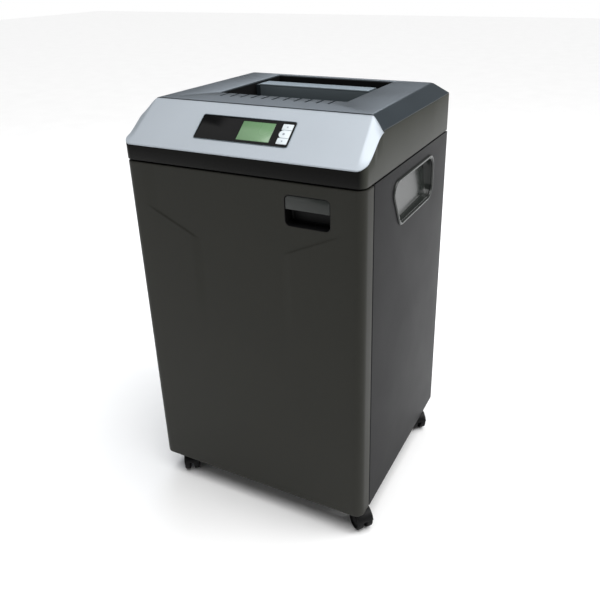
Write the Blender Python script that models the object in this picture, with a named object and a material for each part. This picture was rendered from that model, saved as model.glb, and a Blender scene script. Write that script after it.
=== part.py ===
"""Office paper shredder: a steel cabinet on casters with a hinged door and a pull-out bin,
under a head that holds the feed slot, the control panel and the geared cutters.

Metres, +Z up. The door faces -Y. The origin is on the floor under the middle of the cabinet.
"""

import math

import bmesh
import bpy
from mathutils import Matrix, Vector

# ---- driving dimensions ----
WIDTH = 0.420
DEPTH = 0.390
FOOT = 0.046                    # floor to the cabinet's lower edge
SEAM = FOOT + 0.594             # lower edge of the head
BAND_TOP = SEAM + 0.026         # top of the dark band under the silver fascia
EAVE = SEAM + 0.067             # where the head's sides meet the chamfer
TOP = SEAM + 0.087
CHAMFER = 0.024                 # chamfer's width in plan
RIDGE_Y = -0.1203               # where the fascia meets the top
GAP = 0.0003                    # between touching pieces
WALL = 0.003                    # moulded walls
PANEL = 0.0015                  # folded steel panels

HALF_W = WIDTH / 2
HALF_D = DEPTH / 2
FRONT = -HALF_D
REAR = HALF_D

# door and hinge
DOOR_BACK = -0.161
HINGE = (-0.205, -0.166)
HINGE_R = 0.005
PIN_R = 0.0018
CORNER_R = 0.015
DOOR_LOW = FOOT + 0.0008
DOOR_HIGH = SEAM - 0.0028
LATCH = (0.0830, 0.1575, FOOT + 0.5234, FOOT + 0.5720)   # x0, x1, z0, z1 of the finger recess
PADDLE_LOW = FOOT + 0.5495
PADDLE_AXIS = (-0.1915, LATCH[3] - 0.0035)               # y, z

# cabinet
BASE = (0.0500, 0.0540)
DECK = (0.5290, 0.5320)
INNER_X = HALF_W - PANEL - GAP
INNER_FRONT = -0.156
INNER_BACK = REAR - PANEL - GAP
GRIP_CORNERS = ((-0.050, 0.537), (0.116, 0.537), (0.116, 0.6185), (-0.090, 0.618))
GRIP_RADII = (0.016, 0.026, 0.026, 0.018)
GRIP_DEPTH = 0.018
GRIP_RIM = 0.0025
BIN = (0.168, -0.130, 0.170, 0.0565, 0.520)              # half width, y0, y1, z0, z1

# feed opening in the head
THROAT_X = 0.1175
THROAT = (-0.048, 0.155)
SLOT = (0.056, 0.0655)
SLOT_Z = SEAM + 0.038
RAMP_TOP = SEAM + 0.078
RAMP_LOW = SEAM + 0.048

# mechanism
MODULE = 0.0015
ADDENDUM = 0.8
DEDENDUM = 1.1
BACKLASH = 0.00012
PRESSURE = math.radians(20)
CUTTER_Z = 0.616
NIP_Y = 0.060
TIMING_TEETH = 24
CUTTER_Y = (NIP_Y - TIMING_TEETH * MODULE / 2, NIP_Y + TIMING_TEETH * MODULE / 2)
MOTOR = (-0.060, 0.601)
PINION_TEETH = 12
IDLER_TEETH = 60
IDLER_SMALL_TEETH = 16
DRIVEN_TEETH = 54
PLATE = (0.128, 0.132)
PLANE_NEAR = (0.1335, 0.1425)   # driven gear's plane, along X
PLANE_FAR = (0.1445, 0.1525)    # motor pinion's plane
SHAFT_R = 0.008
DISC_R = 0.021
DISC_HALF = 0.0045
DISC_PITCH = 0.020

# casters: name, stem x, stem y, heading in degrees
CASTERS = (
    ("front_right", 0.1816, -0.1525, -38.5),
    ("front_left", -0.1816, -0.1525, -54.3),
    ("rear_right", 0.1816, 0.1560, -47.0),
    ("rear_left", -0.1816, 0.1560, 218.5),
)
WHEEL_R = 0.020
TREAD_HALF = 0.0145
WEB_HALF = 0.0030
HOOD_R = 0.022
TRAIL = 0.019

# control panel, in the fascia's own plane: x, and distance up the slope
SLOPE_LOW = Vector((0.0, FRONT, BAND_TOP))
SLOPE_HIGH = Vector((0.0, RIDGE_Y, TOP))
WINDOW = (-0.084, 0.081, 0.0245, 0.0704)
SCREEN = (-0.009, 0.048, 0.0295, 0.0650)
KEYS = (0.0600, 0.0780, 0.0287, 0.0653)
ROUND_KEY = (0.0660, 0.0470, 0.0068)

ALONG_X = Matrix(((0, 0, 1), (1, 0, 0), (0, 1, 0))).to_4x4()      # outline in (y, z)
ALONG_Y = Matrix(((1, 0, 0), (0, 0, 1), (0, 1, 0))).to_4x4()      # outline in (x, z)
ALONG_Z = Matrix.Identity(4)                                      # outline in (x, y)


def slope_frame():
    """Fascia plane: x, up the slope, outward."""
    up = (SLOPE_HIGH - SLOPE_LOW).normalized()
    out = Vector((1, 0, 0)).cross(up)
    frame = Matrix((Vector((1, 0, 0)), up, out)).transposed().to_4x4()
    frame.translation = SLOPE_LOW
    return frame


SLOPE = slope_frame()

# ---- materials ----
FINISHES = {
    "silver_plastic": ((0.62, 0.65, 0.69), 0.35, 0.3),
    "charcoal_plastic": ((0.10, 0.11, 0.13), 0.45, 0.0),
    "olive_plastic": ((0.11, 0.11, 0.09), 0.5, 0.0),
    "door_paint": ((0.045, 0.045, 0.038), 0.45, 0.2),
    "panel_paint": ((0.08, 0.08, 0.08), 0.5, 0.2),
    "grey_plastic": ((0.13, 0.14, 0.13), 0.4, 0.0),
    "black_plastic": ((0.012, 0.012, 0.013), 0.5, 0.0),
    "gloss_black": ((0.01, 0.01, 0.011), 0.08, 0.0),
    "lcd_green": ((0.22, 0.46, 0.22), 0.3, 0.0),
    "white_plastic": ((0.8, 0.8, 0.8), 0.4, 0.0),
    "zinc_steel": ((0.55, 0.56, 0.58), 0.35, 1.0),
    "dark_steel": ((0.22, 0.22, 0.23), 0.4, 1.0),
    "board_green": ((0.03, 0.16, 0.07), 0.5, 0.0),
    "rubber": ((0.015, 0.015, 0.015), 0.8, 0.0),
}


def material(name):
    """The named finish, made once."""
    found = bpy.data.materials.get(name)
    if found:
        return found
    color, roughness, metallic = FINISHES[name]
    made = bpy.data.materials.new(name)
    made.use_nodes = True
    shader = made.node_tree.nodes["Principled BSDF"]
    shader.inputs["Base Color"].default_value = (*color, 1.0)
    shader.inputs["Roughness"].default_value = roughness
    shader.inputs["Metallic"].default_value = metallic
    return made


# ---- outlines ----
def arc(center, radius, start, end, steps):
    """Points on an arc, in degrees, both ends included."""
    angles = [math.radians(start + (end - start) * i / steps) for i in range(steps + 1)]
    return [(center[0] + radius * math.cos(a), center[1] + radius * math.sin(a)) for a in angles]


def circle(center, radius, steps, turn=0.0):
    """Closed circle, turned by a number of degrees."""
    return arc(center, radius, turn, turn + 360.0, steps)[:-1]


def rounded(corners, radii, steps=4):
    """Counter-clockwise polygon with each corner turned into an arc tangent to its sides."""
    points = []
    count = len(corners)
    for i, corner in enumerate(corners):
        here = Vector(corner)
        back = (Vector(corners[i - 1]) - here).normalized()
        ahead = (Vector(corners[(i + 1) % count]) - here).normalized()
        half = back.angle(ahead) / 2
        reach = radii[i] / math.tan(half)
        middle = here + (back + ahead).normalized() * radii[i] / math.sin(half)
        first = here + back * reach - middle
        last = here + ahead * reach - middle
        start = math.atan2(first.y, first.x)
        sweep = (math.atan2(last.y, last.x) - start) % math.tau
        for k in range(steps + 1):
            a = start + sweep * k / steps
            points.append((middle.x + radii[i] * math.cos(a), middle.y + radii[i] * math.sin(a)))
    return points


def rectangle(u0, u1, v0, v1, radius=0.0, steps=3):
    """Rectangle, with rounded corners if it has a radius."""
    corners = ((u0, v0), (u1, v0), (u1, v1), (u0, v1))
    if not radius:
        return list(corners)
    return rounded(corners, (radius,) * 4, steps)


def inset(corners, distance):
    """Convex counter-clockwise polygon moved inwards by a distance."""
    moved = []
    count = len(corners)
    for i, corner in enumerate(corners):
        here = Vector(corner)
        back = (here - Vector(corners[i - 1])).normalized()
        ahead = (Vector(corners[(i + 1) % count]) - here).normalized()
        normals = Vector((-back.y, back.x)) + Vector((-ahead.y, ahead.x))
        moved.append(tuple(here + normals * distance / (1 + back.dot(ahead))))
    return moved


def gear_outline(teeth, center, turn):
    """Involute teeth; one tooth points at the angle `turn`."""
    pitch_r = teeth * MODULE / 2
    base_r = pitch_r * math.cos(PRESSURE)
    root_r = pitch_r - DEDENDUM * MODULE
    tip_r = pitch_r + ADDENDUM * MODULE

    def involute(radius):
        angle = math.acos(min(1.0, base_r / radius))
        return math.tan(angle) - angle

    half_pitch = math.pi / (2 * teeth) - BACKLASH / pitch_r
    radii = (root_r, pitch_r, tip_r)
    halves = [half_pitch + involute(pitch_r) - involute(radius) for radius in radii]
    points = []
    for i in range(teeth):
        middle = turn + math.tau * i / teeth
        for radius, half in zip(radii, halves):
            points.append((radius, middle - half))
        for radius, half in zip(reversed(radii), reversed(halves)):
            points.append((radius, middle + half))
    return [(center[0] + r * math.cos(a), center[1] + r * math.sin(a)) for r, a in points]


# ---- solids ----
def add(name, shape, finish, origin=(0, 0, 0), smooth=False):
    """New object from a bmesh in world space, with its origin at `origin`."""
    bmesh.ops.recalc_face_normals(shape, faces=shape.faces)
    bmesh.ops.translate(shape, verts=shape.verts, vec=-Vector(origin))
    mesh = bpy.data.meshes.new(name)
    shape.to_mesh(mesh)
    shape.free()
    if smooth:
        mesh.shade_smooth()
        mesh.set_sharp_from_angle(angle=math.radians(35))
    made = bpy.data.objects.new(name, mesh)
    made.location = origin
    made.data.materials.append(material(finish))
    bpy.context.scene.collection.objects.link(made)
    return made


def extruded(outline, low, high, frame):
    """Closed bmesh: an outline pushed along its frame's third axis."""
    shape = bmesh.new()
    bottom = [shape.verts.new(frame @ Vector((u, v, low))) for u, v in outline]
    top = [shape.verts.new(frame @ Vector((u, v, high))) for u, v in outline]
    shape.faces.new(bottom)
    shape.faces.new(top)
    for i, vert in enumerate(bottom):
        shape.faces.new((vert, bottom[i - 1], top[i - 1], top[i]))
    return shape


def prism(name, outline, low, high, frame, finish, **options):
    """Object from an extruded outline."""
    return add(name, extruded(outline, low, high, frame), finish, **options)


def box(name, x, y, z, finish, **options):
    """Object from three (low, high) pairs."""
    return prism(name, rectangle(*x, *y), *z, ALONG_Z, finish, **options)


def turned(name, profile, frame, finish, steps=24, turn=0.0, **options):
    """Object from (distance along the axis, radius) points, spun around the frame's third axis."""
    shape = bmesh.new()
    rings = []
    for along, radius in profile:
        ring = circle((0, 0), radius, steps, turn)
        rings.append([shape.verts.new(frame @ Vector((u, v, along))) for u, v in ring])
    for first, second in zip(rings, rings[1:]):
        for i in range(steps):
            shape.faces.new((first[i - 1], first[i], second[i], second[i - 1]))
    shape.faces.new(rings[0])
    shape.faces.new(rings[-1])
    return add(name, shape, finish, smooth=True, **options)


def modify(target, tool, operation):
    """Exact Boolean of a hidden tool on a target."""
    step = target.modifiers.new(tool.name, "BOOLEAN")
    step.operation = operation
    step.object = tool
    tool.hide_render = True
    tool.display_type = "WIRE"


def cut(target, *tools):
    """Take each tool away from the target."""
    for tool in tools:
        modify(target, tool, "DIFFERENCE")


def fuse(target, *tools):
    """Join each tool to the target."""
    for tool in tools:
        modify(target, tool, "UNION")


def tool_name(target, use):
    """Name of a hidden tool."""
    return f"tool_{target}_{use}"


def axis_frame(y, z):
    """Frame of a turned piece whose axis runs along X through (y, z)."""
    frame = ALONG_X.copy()
    frame.translation = (0, y, z)
    return frame


# ---- cabinet ----
def grip_outline(step_in):
    """Side grip's outline in (y, z), moved in from the rim's outer edge."""
    radii = [radius - step_in * 0.6 for radius in GRIP_RADII]
    return rounded(inset(GRIP_CORNERS, step_in), radii)


def side_panels():
    """Folded sheet on each side, with a front return and a hole for the grip cup."""
    for name, side in (("left", -1), ("right", 1)):
        outer = side * HALF_W
        inner = side * (HALF_W - PANEL)
        lip = side * 0.192
        back = DOOR_BACK + 0.0015
        outline = [(outer, back), (outer, REAR), (inner, REAR), (inner, back + PANEL),
                   (lip, back + PANEL), (lip, back)]
        panel = prism(f"{name}_side_panel", outline, FOOT + GAP, SEAM - 0.0026, ALONG_Z, "panel_paint")
        ends = sorted((side * 0.200, side * 0.220))
        cut(panel, prism(tool_name(name, "grip_hole"), grip_outline(0.0065), *ends, ALONG_X, "panel_paint"))


def grip_cups():
    """Moulded cup in each side panel: an outer rim and a shallow pocket behind it."""
    for name, side in (("left", -1), ("right", 1)):
        rim = sorted((side * (HALF_W + GAP), side * (HALF_W + GAP + GRIP_RIM)))
        tub = sorted((side * (HALF_W - GRIP_DEPTH - WALL), side * (HALF_W + 0.001)))
        hollow = sorted((side * (HALF_W - GRIP_DEPTH), side * (HALF_W + 0.010)))
        cup = prism(f"{name}_grip_cup", grip_outline(0.0), *rim, ALONG_X, "grey_plastic")
        fuse(cup, prism(tool_name(name, "grip_tub"), grip_outline(0.0070), *tub, ALONG_X, "grey_plastic"))
        cut(cup, prism(tool_name(name, "grip_pocket"), grip_outline(0.0095), *hollow, ALONG_X, "grey_plastic"))


def cabinet():
    """Base, rear panel, mechanism deck and the brackets that carry the door."""
    box("base_plate", (-INNER_X, INNER_X), (INNER_FRONT, INNER_BACK), BASE, "black_plastic")
    rear = box("rear_panel", (-INNER_X, INNER_X), (REAR - PANEL, REAR), (FOOT + GAP, SEAM - 0.0026),
               "panel_paint")
    for i in range(6):
        x = -0.030 + 0.018 * i
        cut(rear, box(tool_name("rear", f"vent_{i}"), (x, x + 0.005), (0.18, 0.21), (0.560, 0.610),
                      "panel_paint"))
    cut(rear, box(tool_name("rear", "inlet_hole"), (-0.1553, -0.1267), (0.18, 0.21), (0.5717, 0.5923),
                  "panel_paint"))
    cut(rear, box(tool_name("rear", "switch_hole"), (-0.1023, -0.0777), (0.18, 0.21), (0.5707, 0.5933),
                  "panel_paint"))
    deck = box("mechanism_deck", (-0.188, 0.188), (-0.150, INNER_BACK), DECK, "zinc_steel")
    cut(deck, box(tool_name("deck", "drop"), (-0.122, 0.122), (-0.004, 0.124), (0.50, 0.55), "zinc_steel"))
    foot = [(-0.150, DECK[1] + GAP), (-0.120, DECK[1] + GAP), (-0.120, DECK[1] + 0.003),
            (-0.147, DECK[1] + 0.003), (-0.147, 0.616), (-0.150, 0.616)]
    prism("catch_plate", foot, 0.095, 0.145, ALONG_X, "zinc_steel")
    side_panels()
    grip_cups()
    hinge_brackets()


def hinge_brackets():
    """Plates above and below the door that its two pins turn in."""
    hole_r = (PIN_R + GAP) / math.cos(math.pi / 12)
    tab = [*arc(HINGE, 0.0045, 180, 360, 8), (-0.1935, -0.158), (-0.1935, -0.120), (-0.2064, -0.120),
           (-0.2064, -0.158)]
    upper = prism("upper_hinge_bracket", tab, SEAM - 0.0023, SEAM - GAP, ALONG_Z, "zinc_steel")
    short = [*arc(HINGE, 0.0045, 180, 360, 8), (-0.1935, -0.158), (-0.1935, -0.150), (-0.2064, -0.150),
             (-0.2064, -0.158)]
    lower = prism("lower_hinge_bracket", short, FOOT - 0.0018, FOOT, ALONG_Z, "zinc_steel")
    leg = box(tool_name("lower_hinge", "leg"), (-0.2064, -0.1935), (-0.1535, -0.150),
              (FOOT - 0.001, BASE[0] - GAP), "zinc_steel")
    fuse(lower, leg)
    for bracket, z in ((upper, SEAM), (lower, FOOT)):
        cut(bracket, prism(tool_name(bracket.name, "hole"), circle(HINGE, hole_r, 12), z - 0.01, z + 0.01,
                           ALONG_Z, "zinc_steel"))


# ---- door ----
def door():
    """Wrap-round door tray with its liner, hinge pins, latch cup and paddle, all on the hinge axis."""
    axis = (*HINGE, 0)
    x0, x1, z0, z1 = LATCH
    outline = [*arc(HINGE, HINGE_R, 90, 180, 6),
               *arc((-HALF_W + CORNER_R, FRONT + CORNER_R), CORNER_R, 180, 270, 6),
               *arc((HALF_W - CORNER_R, FRONT + CORNER_R), CORNER_R, 270, 360, 6),
               (HALF_W, DOOR_BACK)]
    inner_r = CORNER_R - WALL
    hollow = [(-HALF_W + WALL, -0.150),
              *arc((-HALF_W + CORNER_R, FRONT + CORNER_R), inner_r, 180, 270, 6),
              *arc((HALF_W - CORNER_R, FRONT + CORNER_R), inner_r, 270, 360, 6),
              (HALF_W - WALL, -0.150)]
    panel = prism("door_panel", outline, DOOR_LOW, DOOR_HIGH, ALONG_Z, "door_paint", origin=axis)
    pin_hole_r = (PIN_R + GAP) / math.cos(math.pi / 12)
    cut(panel,
        prism("tool_door_hollow", hollow, DOOR_LOW + WALL, DOOR_HIGH - WALL, ALONG_Z, "door_paint"),
        prism("tool_door_latch", rectangle(x0, x1, z0, z1, 0.008), -0.21, -0.18, ALONG_Y, "door_paint"),
        prism("tool_door_pin", circle(HINGE, pin_hole_r, 12), 0.03, 0.65, ALONG_Z, "door_paint"))
    box("door_liner", (-0.2015, HALF_W - WALL - GAP), (-0.1640, -0.1614),
                (DOOR_LOW + WALL + GAP, DOOR_HIGH - WALL - GAP), "black_plastic", origin=axis)
    for name, low, high in (("upper_hinge_pin", DOOR_HIGH - 0.010, SEAM - 0.0006),
                            ("lower_hinge_pin", FOOT - 0.0018, DOOR_LOW + 0.010)):
        prism(name, circle(HINGE, PIN_R, 12), low, high, ALONG_Z, "zinc_steel", origin=axis, smooth=True)

    cup = prism("latch_cup", rectangle(x0 - WALL, x1 + WALL, z0 - WALL, z1 + WALL, 0.010),
                -0.1917, -0.1695, ALONG_Y, "black_plastic", origin=axis)
    cut(cup, prism("tool_latch_hollow", rectangle(x0, x1, z0, z1, 0.008), -0.20, -0.1720, ALONG_Y,
                   "black_plastic"))
    py, pz = PADDLE_AXIS
    half = 0.0020
    side = [*arc((py, pz), half, 0, 180, 8), (py - half, PADDLE_LOW + 0.001), (py - half + 0.001, PADDLE_LOW),
            (py + half + 0.004, PADDLE_LOW), (py + half + 0.004, PADDLE_LOW + 0.002),
            (py + half, PADDLE_LOW + 0.003)]
    paddle = prism("latch_paddle", side, x0, x1, ALONG_X, "grey_plastic", origin=((x0 + x1) / 2, py, pz))
    room = rectangle(x0 + 0.001, x1 - 0.001, z0, z1, 0.008)
    modify(paddle, prism("tool_latch_outline", room, -0.21, -0.16, ALONG_Y, "grey_plastic"), "INTERSECT")


def waste_bin():
    """Open bin with rounded front corners and a hand cut-out in its front wall."""
    half, y0, y1, z0, z1 = BIN
    corner = 0.025
    back = 0.008
    outline = rounded(((-half, y0), (half, y0), (half, y1), (-half, y1)), (corner, corner, back, back))
    inside = rounded(((-half + WALL, y0 + WALL), (half - WALL, y0 + WALL),
                      (half - WALL, y1 - WALL), (-half + WALL, y1 - WALL)),
                     (corner - WALL, corner - WALL, back - WALL, back - WALL))
    tub = prism("waste_bin", outline, z0, z1, ALONG_Z, "black_plastic", origin=(0, y0, z0))
    cut(tub, prism("tool_bin_inside", inside, z0 + WALL, z1 + 0.01, ALONG_Z, "black_plastic"),
        prism("tool_bin_notch", rectangle(-0.060, 0.060, z1 - 0.035, z1 + 0.020, 0.010), y0 - 0.01, y0 + 0.01,
              ALONG_Y, "black_plastic"))


# ---- head ----
def frustum(low_x, low_y, low_z, high_x, high_y, high_z):
    """Closed bmesh between a low and a high rectangle."""
    shape = bmesh.new()
    low = [shape.verts.new((x, y, low_z)) for x, y in rectangle(-low_x, low_x, *low_y)]
    high = [shape.verts.new((x, y, high_z)) for x, y in rectangle(-high_x, high_x, *high_y)]
    shape.faces.new(low)
    shape.faces.new(high)
    for i in range(4):
        shape.faces.new((low[i - 1], low[i], high[i], high[i - 1]))
    return shape


def head_casing():
    """Skirt of the head: four walls whose side edges follow the fascia."""
    drop = 0.0044
    profile = [(FRONT, SEAM), (REAR, SEAM), (REAR, EAVE - GAP), (-0.1240, EAVE - GAP), (-0.1245, EAVE - drop),
               (FRONT + 0.006, SEAM + 0.031 - drop), (FRONT, BAND_TOP - drop)]
    casing = prism("head_casing", profile, -HALF_W, HALF_W, ALONG_X, "olive_plastic")
    cut(casing, box("tool_casing_inside", (-HALF_W + WALL, HALF_W - WALL), (FRONT + WALL, REAR - WALL),
                    (SEAM - 0.01, TOP + 0.01), "olive_plastic"))


def top_cover():
    """Chamfered lid with the feed throat moulded into it."""
    edge = CHAMFER
    cover = add("top_cover", frustum(HALF_W, (RIDGE_Y + 2 * GAP, REAR), EAVE, HALF_W - edge,
                                     (RIDGE_Y + 2 * GAP, REAR - edge), TOP), "charcoal_plastic")
    cut(cover, add("tool_cover_inside", frustum(HALF_W - WALL, (RIDGE_Y + WALL, REAR - WALL), EAVE - 0.003,
                                                HALF_W - edge - WALL, (RIDGE_Y + WALL, REAR - edge - WALL),
                                                TOP - WALL), "charcoal_plastic"))
    cut(cover, box("tool_cover_throat", (-THROAT_X, THROAT_X), THROAT, (TOP - 0.01, TOP + 0.01),
                   "charcoal_plastic"))
    lid_core = TOP - WALL / 2
    y0, y1 = THROAT
    ramp = [(y0 - WALL, lid_core), (y0 - WALL, RAMP_TOP - WALL), (SLOT[0] - WALL, RAMP_LOW - WALL),
            (SLOT[0] - WALL, SLOT_Z), (SLOT[0], SLOT_Z), (SLOT[0], RAMP_LOW), (y0, RAMP_TOP), (y0, lid_core)]
    shelf = TOP - 0.0045
    well = TOP - 0.021
    wall_y = SLOT[1] + 0.002
    back = 0.1005
    rear = [(wall_y, SLOT_Z), (wall_y + WALL, SLOT_Z), (wall_y + WALL, shelf - WALL),
            (back - WALL, shelf - WALL), (back - WALL, well - WALL), (y1 + WALL, well - WALL),
            (y1 + WALL, lid_core), (y1, lid_core), (y1, well), (back, well), (back, shelf), (wall_y, shelf)]
    half = THROAT_X + 0.001
    fuse(cover,
         prism("tool_cover_ramp", ramp, -half, half, ALONG_X, "charcoal_plastic"),
         prism("tool_cover_rear", rear, -half, half, ALONG_X, "charcoal_plastic"))
    for side in (-1, 1):
        ends = sorted((side * THROAT_X, side * (THROAT_X + WALL)))
        wall = box(f"tool_cover_end_{side + 1}", ends, (y0 - WALL, y1 + WALL), (SLOT_Z, lid_core),
                   "charcoal_plastic")
        fuse(cover, wall)
    for k in range(-5, 6):
        x = 0.0196 * k
        cut(cover, box(f"tool_cover_groove_{k + 5}", (x - 0.0013, x + 0.0013), (-0.073, -0.040),
                       (TOP - 0.0015, TOP + 0.01), "charcoal_plastic"))
    strip_x = 0.107
    face_y = SLOT[1]
    strip = [(face_y, SEAM + 0.052), (face_y + 0.0017, SEAM + 0.052), (face_y + 0.0017, shelf + GAP),
             (0.098, shelf + GAP), (0.098, shelf + 0.0022), (face_y, shelf + 0.0022)]
    prism("paper_guide", strip, -strip_x, strip_x, ALONG_X, "zinc_steel")
    box("paper_sensor", (-0.010, 0.010), (0.030, 0.045), (RAMP_LOW - 0.020, RAMP_LOW - 0.007), "black_plastic")


def front_fascia():
    """Sloping silver panel; its ends fold down to the head's sides."""
    drop = 0.0035
    rows = (
        ((-HALF_W, FRONT + 0.006, SEAM + 0.031), (-0.196, FRONT, BAND_TOP),
         (0.196, FRONT, BAND_TOP), (HALF_W, FRONT + 0.006, SEAM + 0.031)),
        ((-HALF_W, -0.127, EAVE), (-HALF_W + CHAMFER, RIDGE_Y, TOP),
         (HALF_W - CHAMFER, RIDGE_Y, TOP), (HALF_W, -0.127, EAVE)),
    )
    shape = bmesh.new()
    outer = [[shape.verts.new(p) for p in row] for row in rows]
    inner = [[shape.verts.new((x, y, z - drop)) for x, y, z in row] for row in rows]
    for layer in (outer, inner):
        for i in range(3):
            shape.faces.new((layer[0][i], layer[0][i + 1], layer[1][i + 1], layer[1][i]))
    for row in (0, 1):
        for i in range(3):
            shape.faces.new((outer[row][i], outer[row][i + 1], inner[row][i + 1], inner[row][i]))
    for i in (0, 3):
        shape.faces.new((outer[0][i], outer[1][i], inner[1][i], inner[0][i]))
    fascia = add("front_fascia", shape, "silver_plastic")
    u0, u1, v0, v1 = WINDOW
    cut(fascia, prism("tool_fascia_window", rectangle(u0, u1, v0, v1, 0.004), -0.02, 0.01, SLOPE,
                      "silver_plastic"))


def control_panel():
    """Glossy window with the screen and three keys, in the fascia's plane."""
    u0, u1, v0, v1 = WINDOW
    window = prism("display_window", rectangle(u0 + GAP, u1 - GAP, v0 + GAP, v1 - GAP, 0.0037),
                   -0.0026, 0.0, SLOPE, "gloss_black")
    s0, s1, t0, t1 = SCREEN
    cut(window, prism("tool_window_screen", rectangle(s0, s1, t0, t1), -0.01, 0.01, SLOPE, "gloss_black"))
    prism("lcd_panel", rectangle(s0 + GAP, s1 - GAP, t0 + GAP, t1 - GAP), -0.0026, -0.0006, SLOPE, "lcd_green")
    k0, k1, j0, j1 = KEYS
    cu, cv, cr = ROUND_KEY
    cut(window, prism("tool_window_keys", rectangle(k0, k1, j0, j1, 0.001), -0.01, 0.01, SLOPE, "gloss_black"),
        prism("tool_window_round", circle((cu, cv), cr + 0.0004, 24), -0.01, 0.01, SLOPE, "gloss_black"))
    bullet = [*arc((cu, cv), cr, 90, 270, 12), (k1 - GAP, cv - cr), (k1 - GAP, cv + cr)]
    outlines = (
        ("key_reverse", rectangle(k0 + GAP, k1 - GAP, j0 + GAP, cv - cr - 0.0015, 0.0008)),
        ("key_auto", bullet),
        ("key_forward", rectangle(k0 + GAP, k1 - GAP, cv + cr + 0.0015, j1 - GAP, 0.0008)),
    )
    for name, outline in outlines:
        middle = sum((Vector(p) for p in outline), Vector((0, 0))) / len(outline)
        prism(name, outline, -0.0030, 0.0008, SLOPE, "white_plastic", origin=SLOPE @ Vector((*middle, 0)))


# ---- mechanism ----
def idler_center():
    """Idler axis: one centre distance from the motor, the other from the front cutter."""
    start = Vector(MOTOR)
    end = Vector((CUTTER_Y[0], CUTTER_Z))
    first = (PINION_TEETH + IDLER_TEETH) * MODULE / 2
    second = (IDLER_SMALL_TEETH + DRIVEN_TEETH) * MODULE / 2
    line = end - start
    along = (first ** 2 - second ** 2 + line.length ** 2) / (2 * line.length)
    unit = line.normalized()
    up = Vector((-unit.y, unit.x))
    return start + unit * along + up * math.sqrt(first ** 2 - along ** 2)


IDLER = idler_center()


def heading(start, end):
    """Angle of the line from one axis to another, in the (y, z) plane."""
    return math.atan2(end[1] - start[1], end[0] - start[0])


def gear(name, teeth, center, turn, plane, bore, finish, origin):
    """Spur gear on an X axis, with a round bore."""
    wheel = prism(name, gear_outline(teeth, center, turn), *plane, ALONG_X, finish, origin=origin)
    if bore:
        cut(wheel, prism(tool_name(name, "bore"), circle(center, bore, 24), -0.2, 0.2, ALONG_X, finish))
    return wheel


def cutters():
    """Two disc shafts and the timing gears that tie them together."""
    front = (CUTTER_Y[0], CUTTER_Z)
    rear = (CUTTER_Y[1], CUTTER_Z)
    last = int(0.108 / DISC_PITCH)
    front_discs = [DISC_PITCH * k for k in range(-last, last + 1)]
    rear_discs = [DISC_PITCH * (k + 0.5) for k in range(-last, last)]
    ends = ((-0.1435, PLANE_NEAR[1] + 0.0005), (-0.1435, PLATE[1] + 0.0005))
    for name, center, discs, (x0, x1) in (("front", front, front_discs, ends[0]),
                                          ("rear", rear, rear_discs, ends[1])):
        profile = [(x0, SHAFT_R)]
        for x in discs:
            profile += [(x - DISC_HALF, SHAFT_R), (x - DISC_HALF, DISC_R),
                        (x + DISC_HALF, DISC_R), (x + DISC_HALF, SHAFT_R)]
        profile.append((x1, SHAFT_R))
        turned(f"{name}_cutter_shaft", profile, axis_frame(*center), "dark_steel", steps=16,
               origin=(0, *center))
    bore = (SHAFT_R + GAP) / math.cos(math.pi / 24)
    timing_plane = (-PLANE_NEAR[1], -PLANE_NEAR[0])
    half_tooth = math.pi / TIMING_TEETH
    gear("front_timing_gear", TIMING_TEETH, front, 0.0, timing_plane, bore, "dark_steel", (0, *front))
    gear("rear_timing_gear", TIMING_TEETH, rear, math.pi + half_tooth, timing_plane, bore, "dark_steel",
         (0, *rear))
    from_idler = heading(front, IDLER)
    gear("driven_gear", DRIVEN_TEETH, front, from_idler, PLANE_NEAR, bore, "dark_steel", (0, *front))


def drive():
    """Motor, its shaft with the pinion, the cooling fan and the compound idler."""
    y, z = MOTOR
    frame = axis_frame(y, z)
    can = turned("motor_can", [(0.012, 0.030), (0.016, 0.038), (0.1235, 0.038), (PLATE[0] - GAP, 0.030)],
                 frame, "zinc_steel")
    shaft_r = 0.004
    cut(can, turned("tool_motor_bore", [(0.0, 0.0046), (0.14, 0.0046)], frame, "zinc_steel"))
    to_idler = heading(MOTOR, IDLER)
    shaft = turned("motor_shaft", [(-0.012, shaft_r), (PLANE_FAR[1], shaft_r)], frame, "dark_steel", steps=16,
                   origin=(0, y, z))
    fuse(shaft, gear("tool_motor_pinion", PINION_TEETH, MOTOR, to_idler, PLANE_FAR, 0.0, "dark_steel",
                     (0, y, z)))
    blades = []
    for i in range(8):
        start = 45.0 * i
        blades += arc((y, z), 0.030, start, start + 22.0, 2)
        blades += arc((y, z), 0.010, start + 24.0, start + 43.0, 2)
    prism("motor_fan", blades, -0.0200, -0.0123, ALONG_X, "black_plastic", origin=(0, y, z))

    bore = 0.0045
    large = heading(IDLER, MOTOR) + math.pi / IDLER_TEETH
    small = heading(IDLER, (CUTTER_Y[0], CUTTER_Z)) + math.pi / IDLER_SMALL_TEETH
    origin = (0, *IDLER)
    idler = gear("idler_gear", IDLER_TEETH, IDLER, large, PLANE_FAR, 0.0, "dark_steel", origin)
    fuse(idler, gear("tool_idler_small", IDLER_SMALL_TEETH, IDLER, small, (PLANE_NEAR[0], PLANE_FAR[0] + 0.001),
                     0.0, "dark_steel", origin))
    cut(idler, prism("tool_idler_bore", circle(IDLER, bore, 24), 0.12, 0.16, ALONG_X, "dark_steel"))
    turned("idler_pin", [(PLATE[1] + GAP, 0.006), (PLANE_NEAR[0] - GAP, 0.006), (PLANE_NEAR[0] - GAP, 0.004),
                         (PLANE_FAR[1] + 0.001, 0.004)], axis_frame(*IDLER), "zinc_steel", steps=16)


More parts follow.
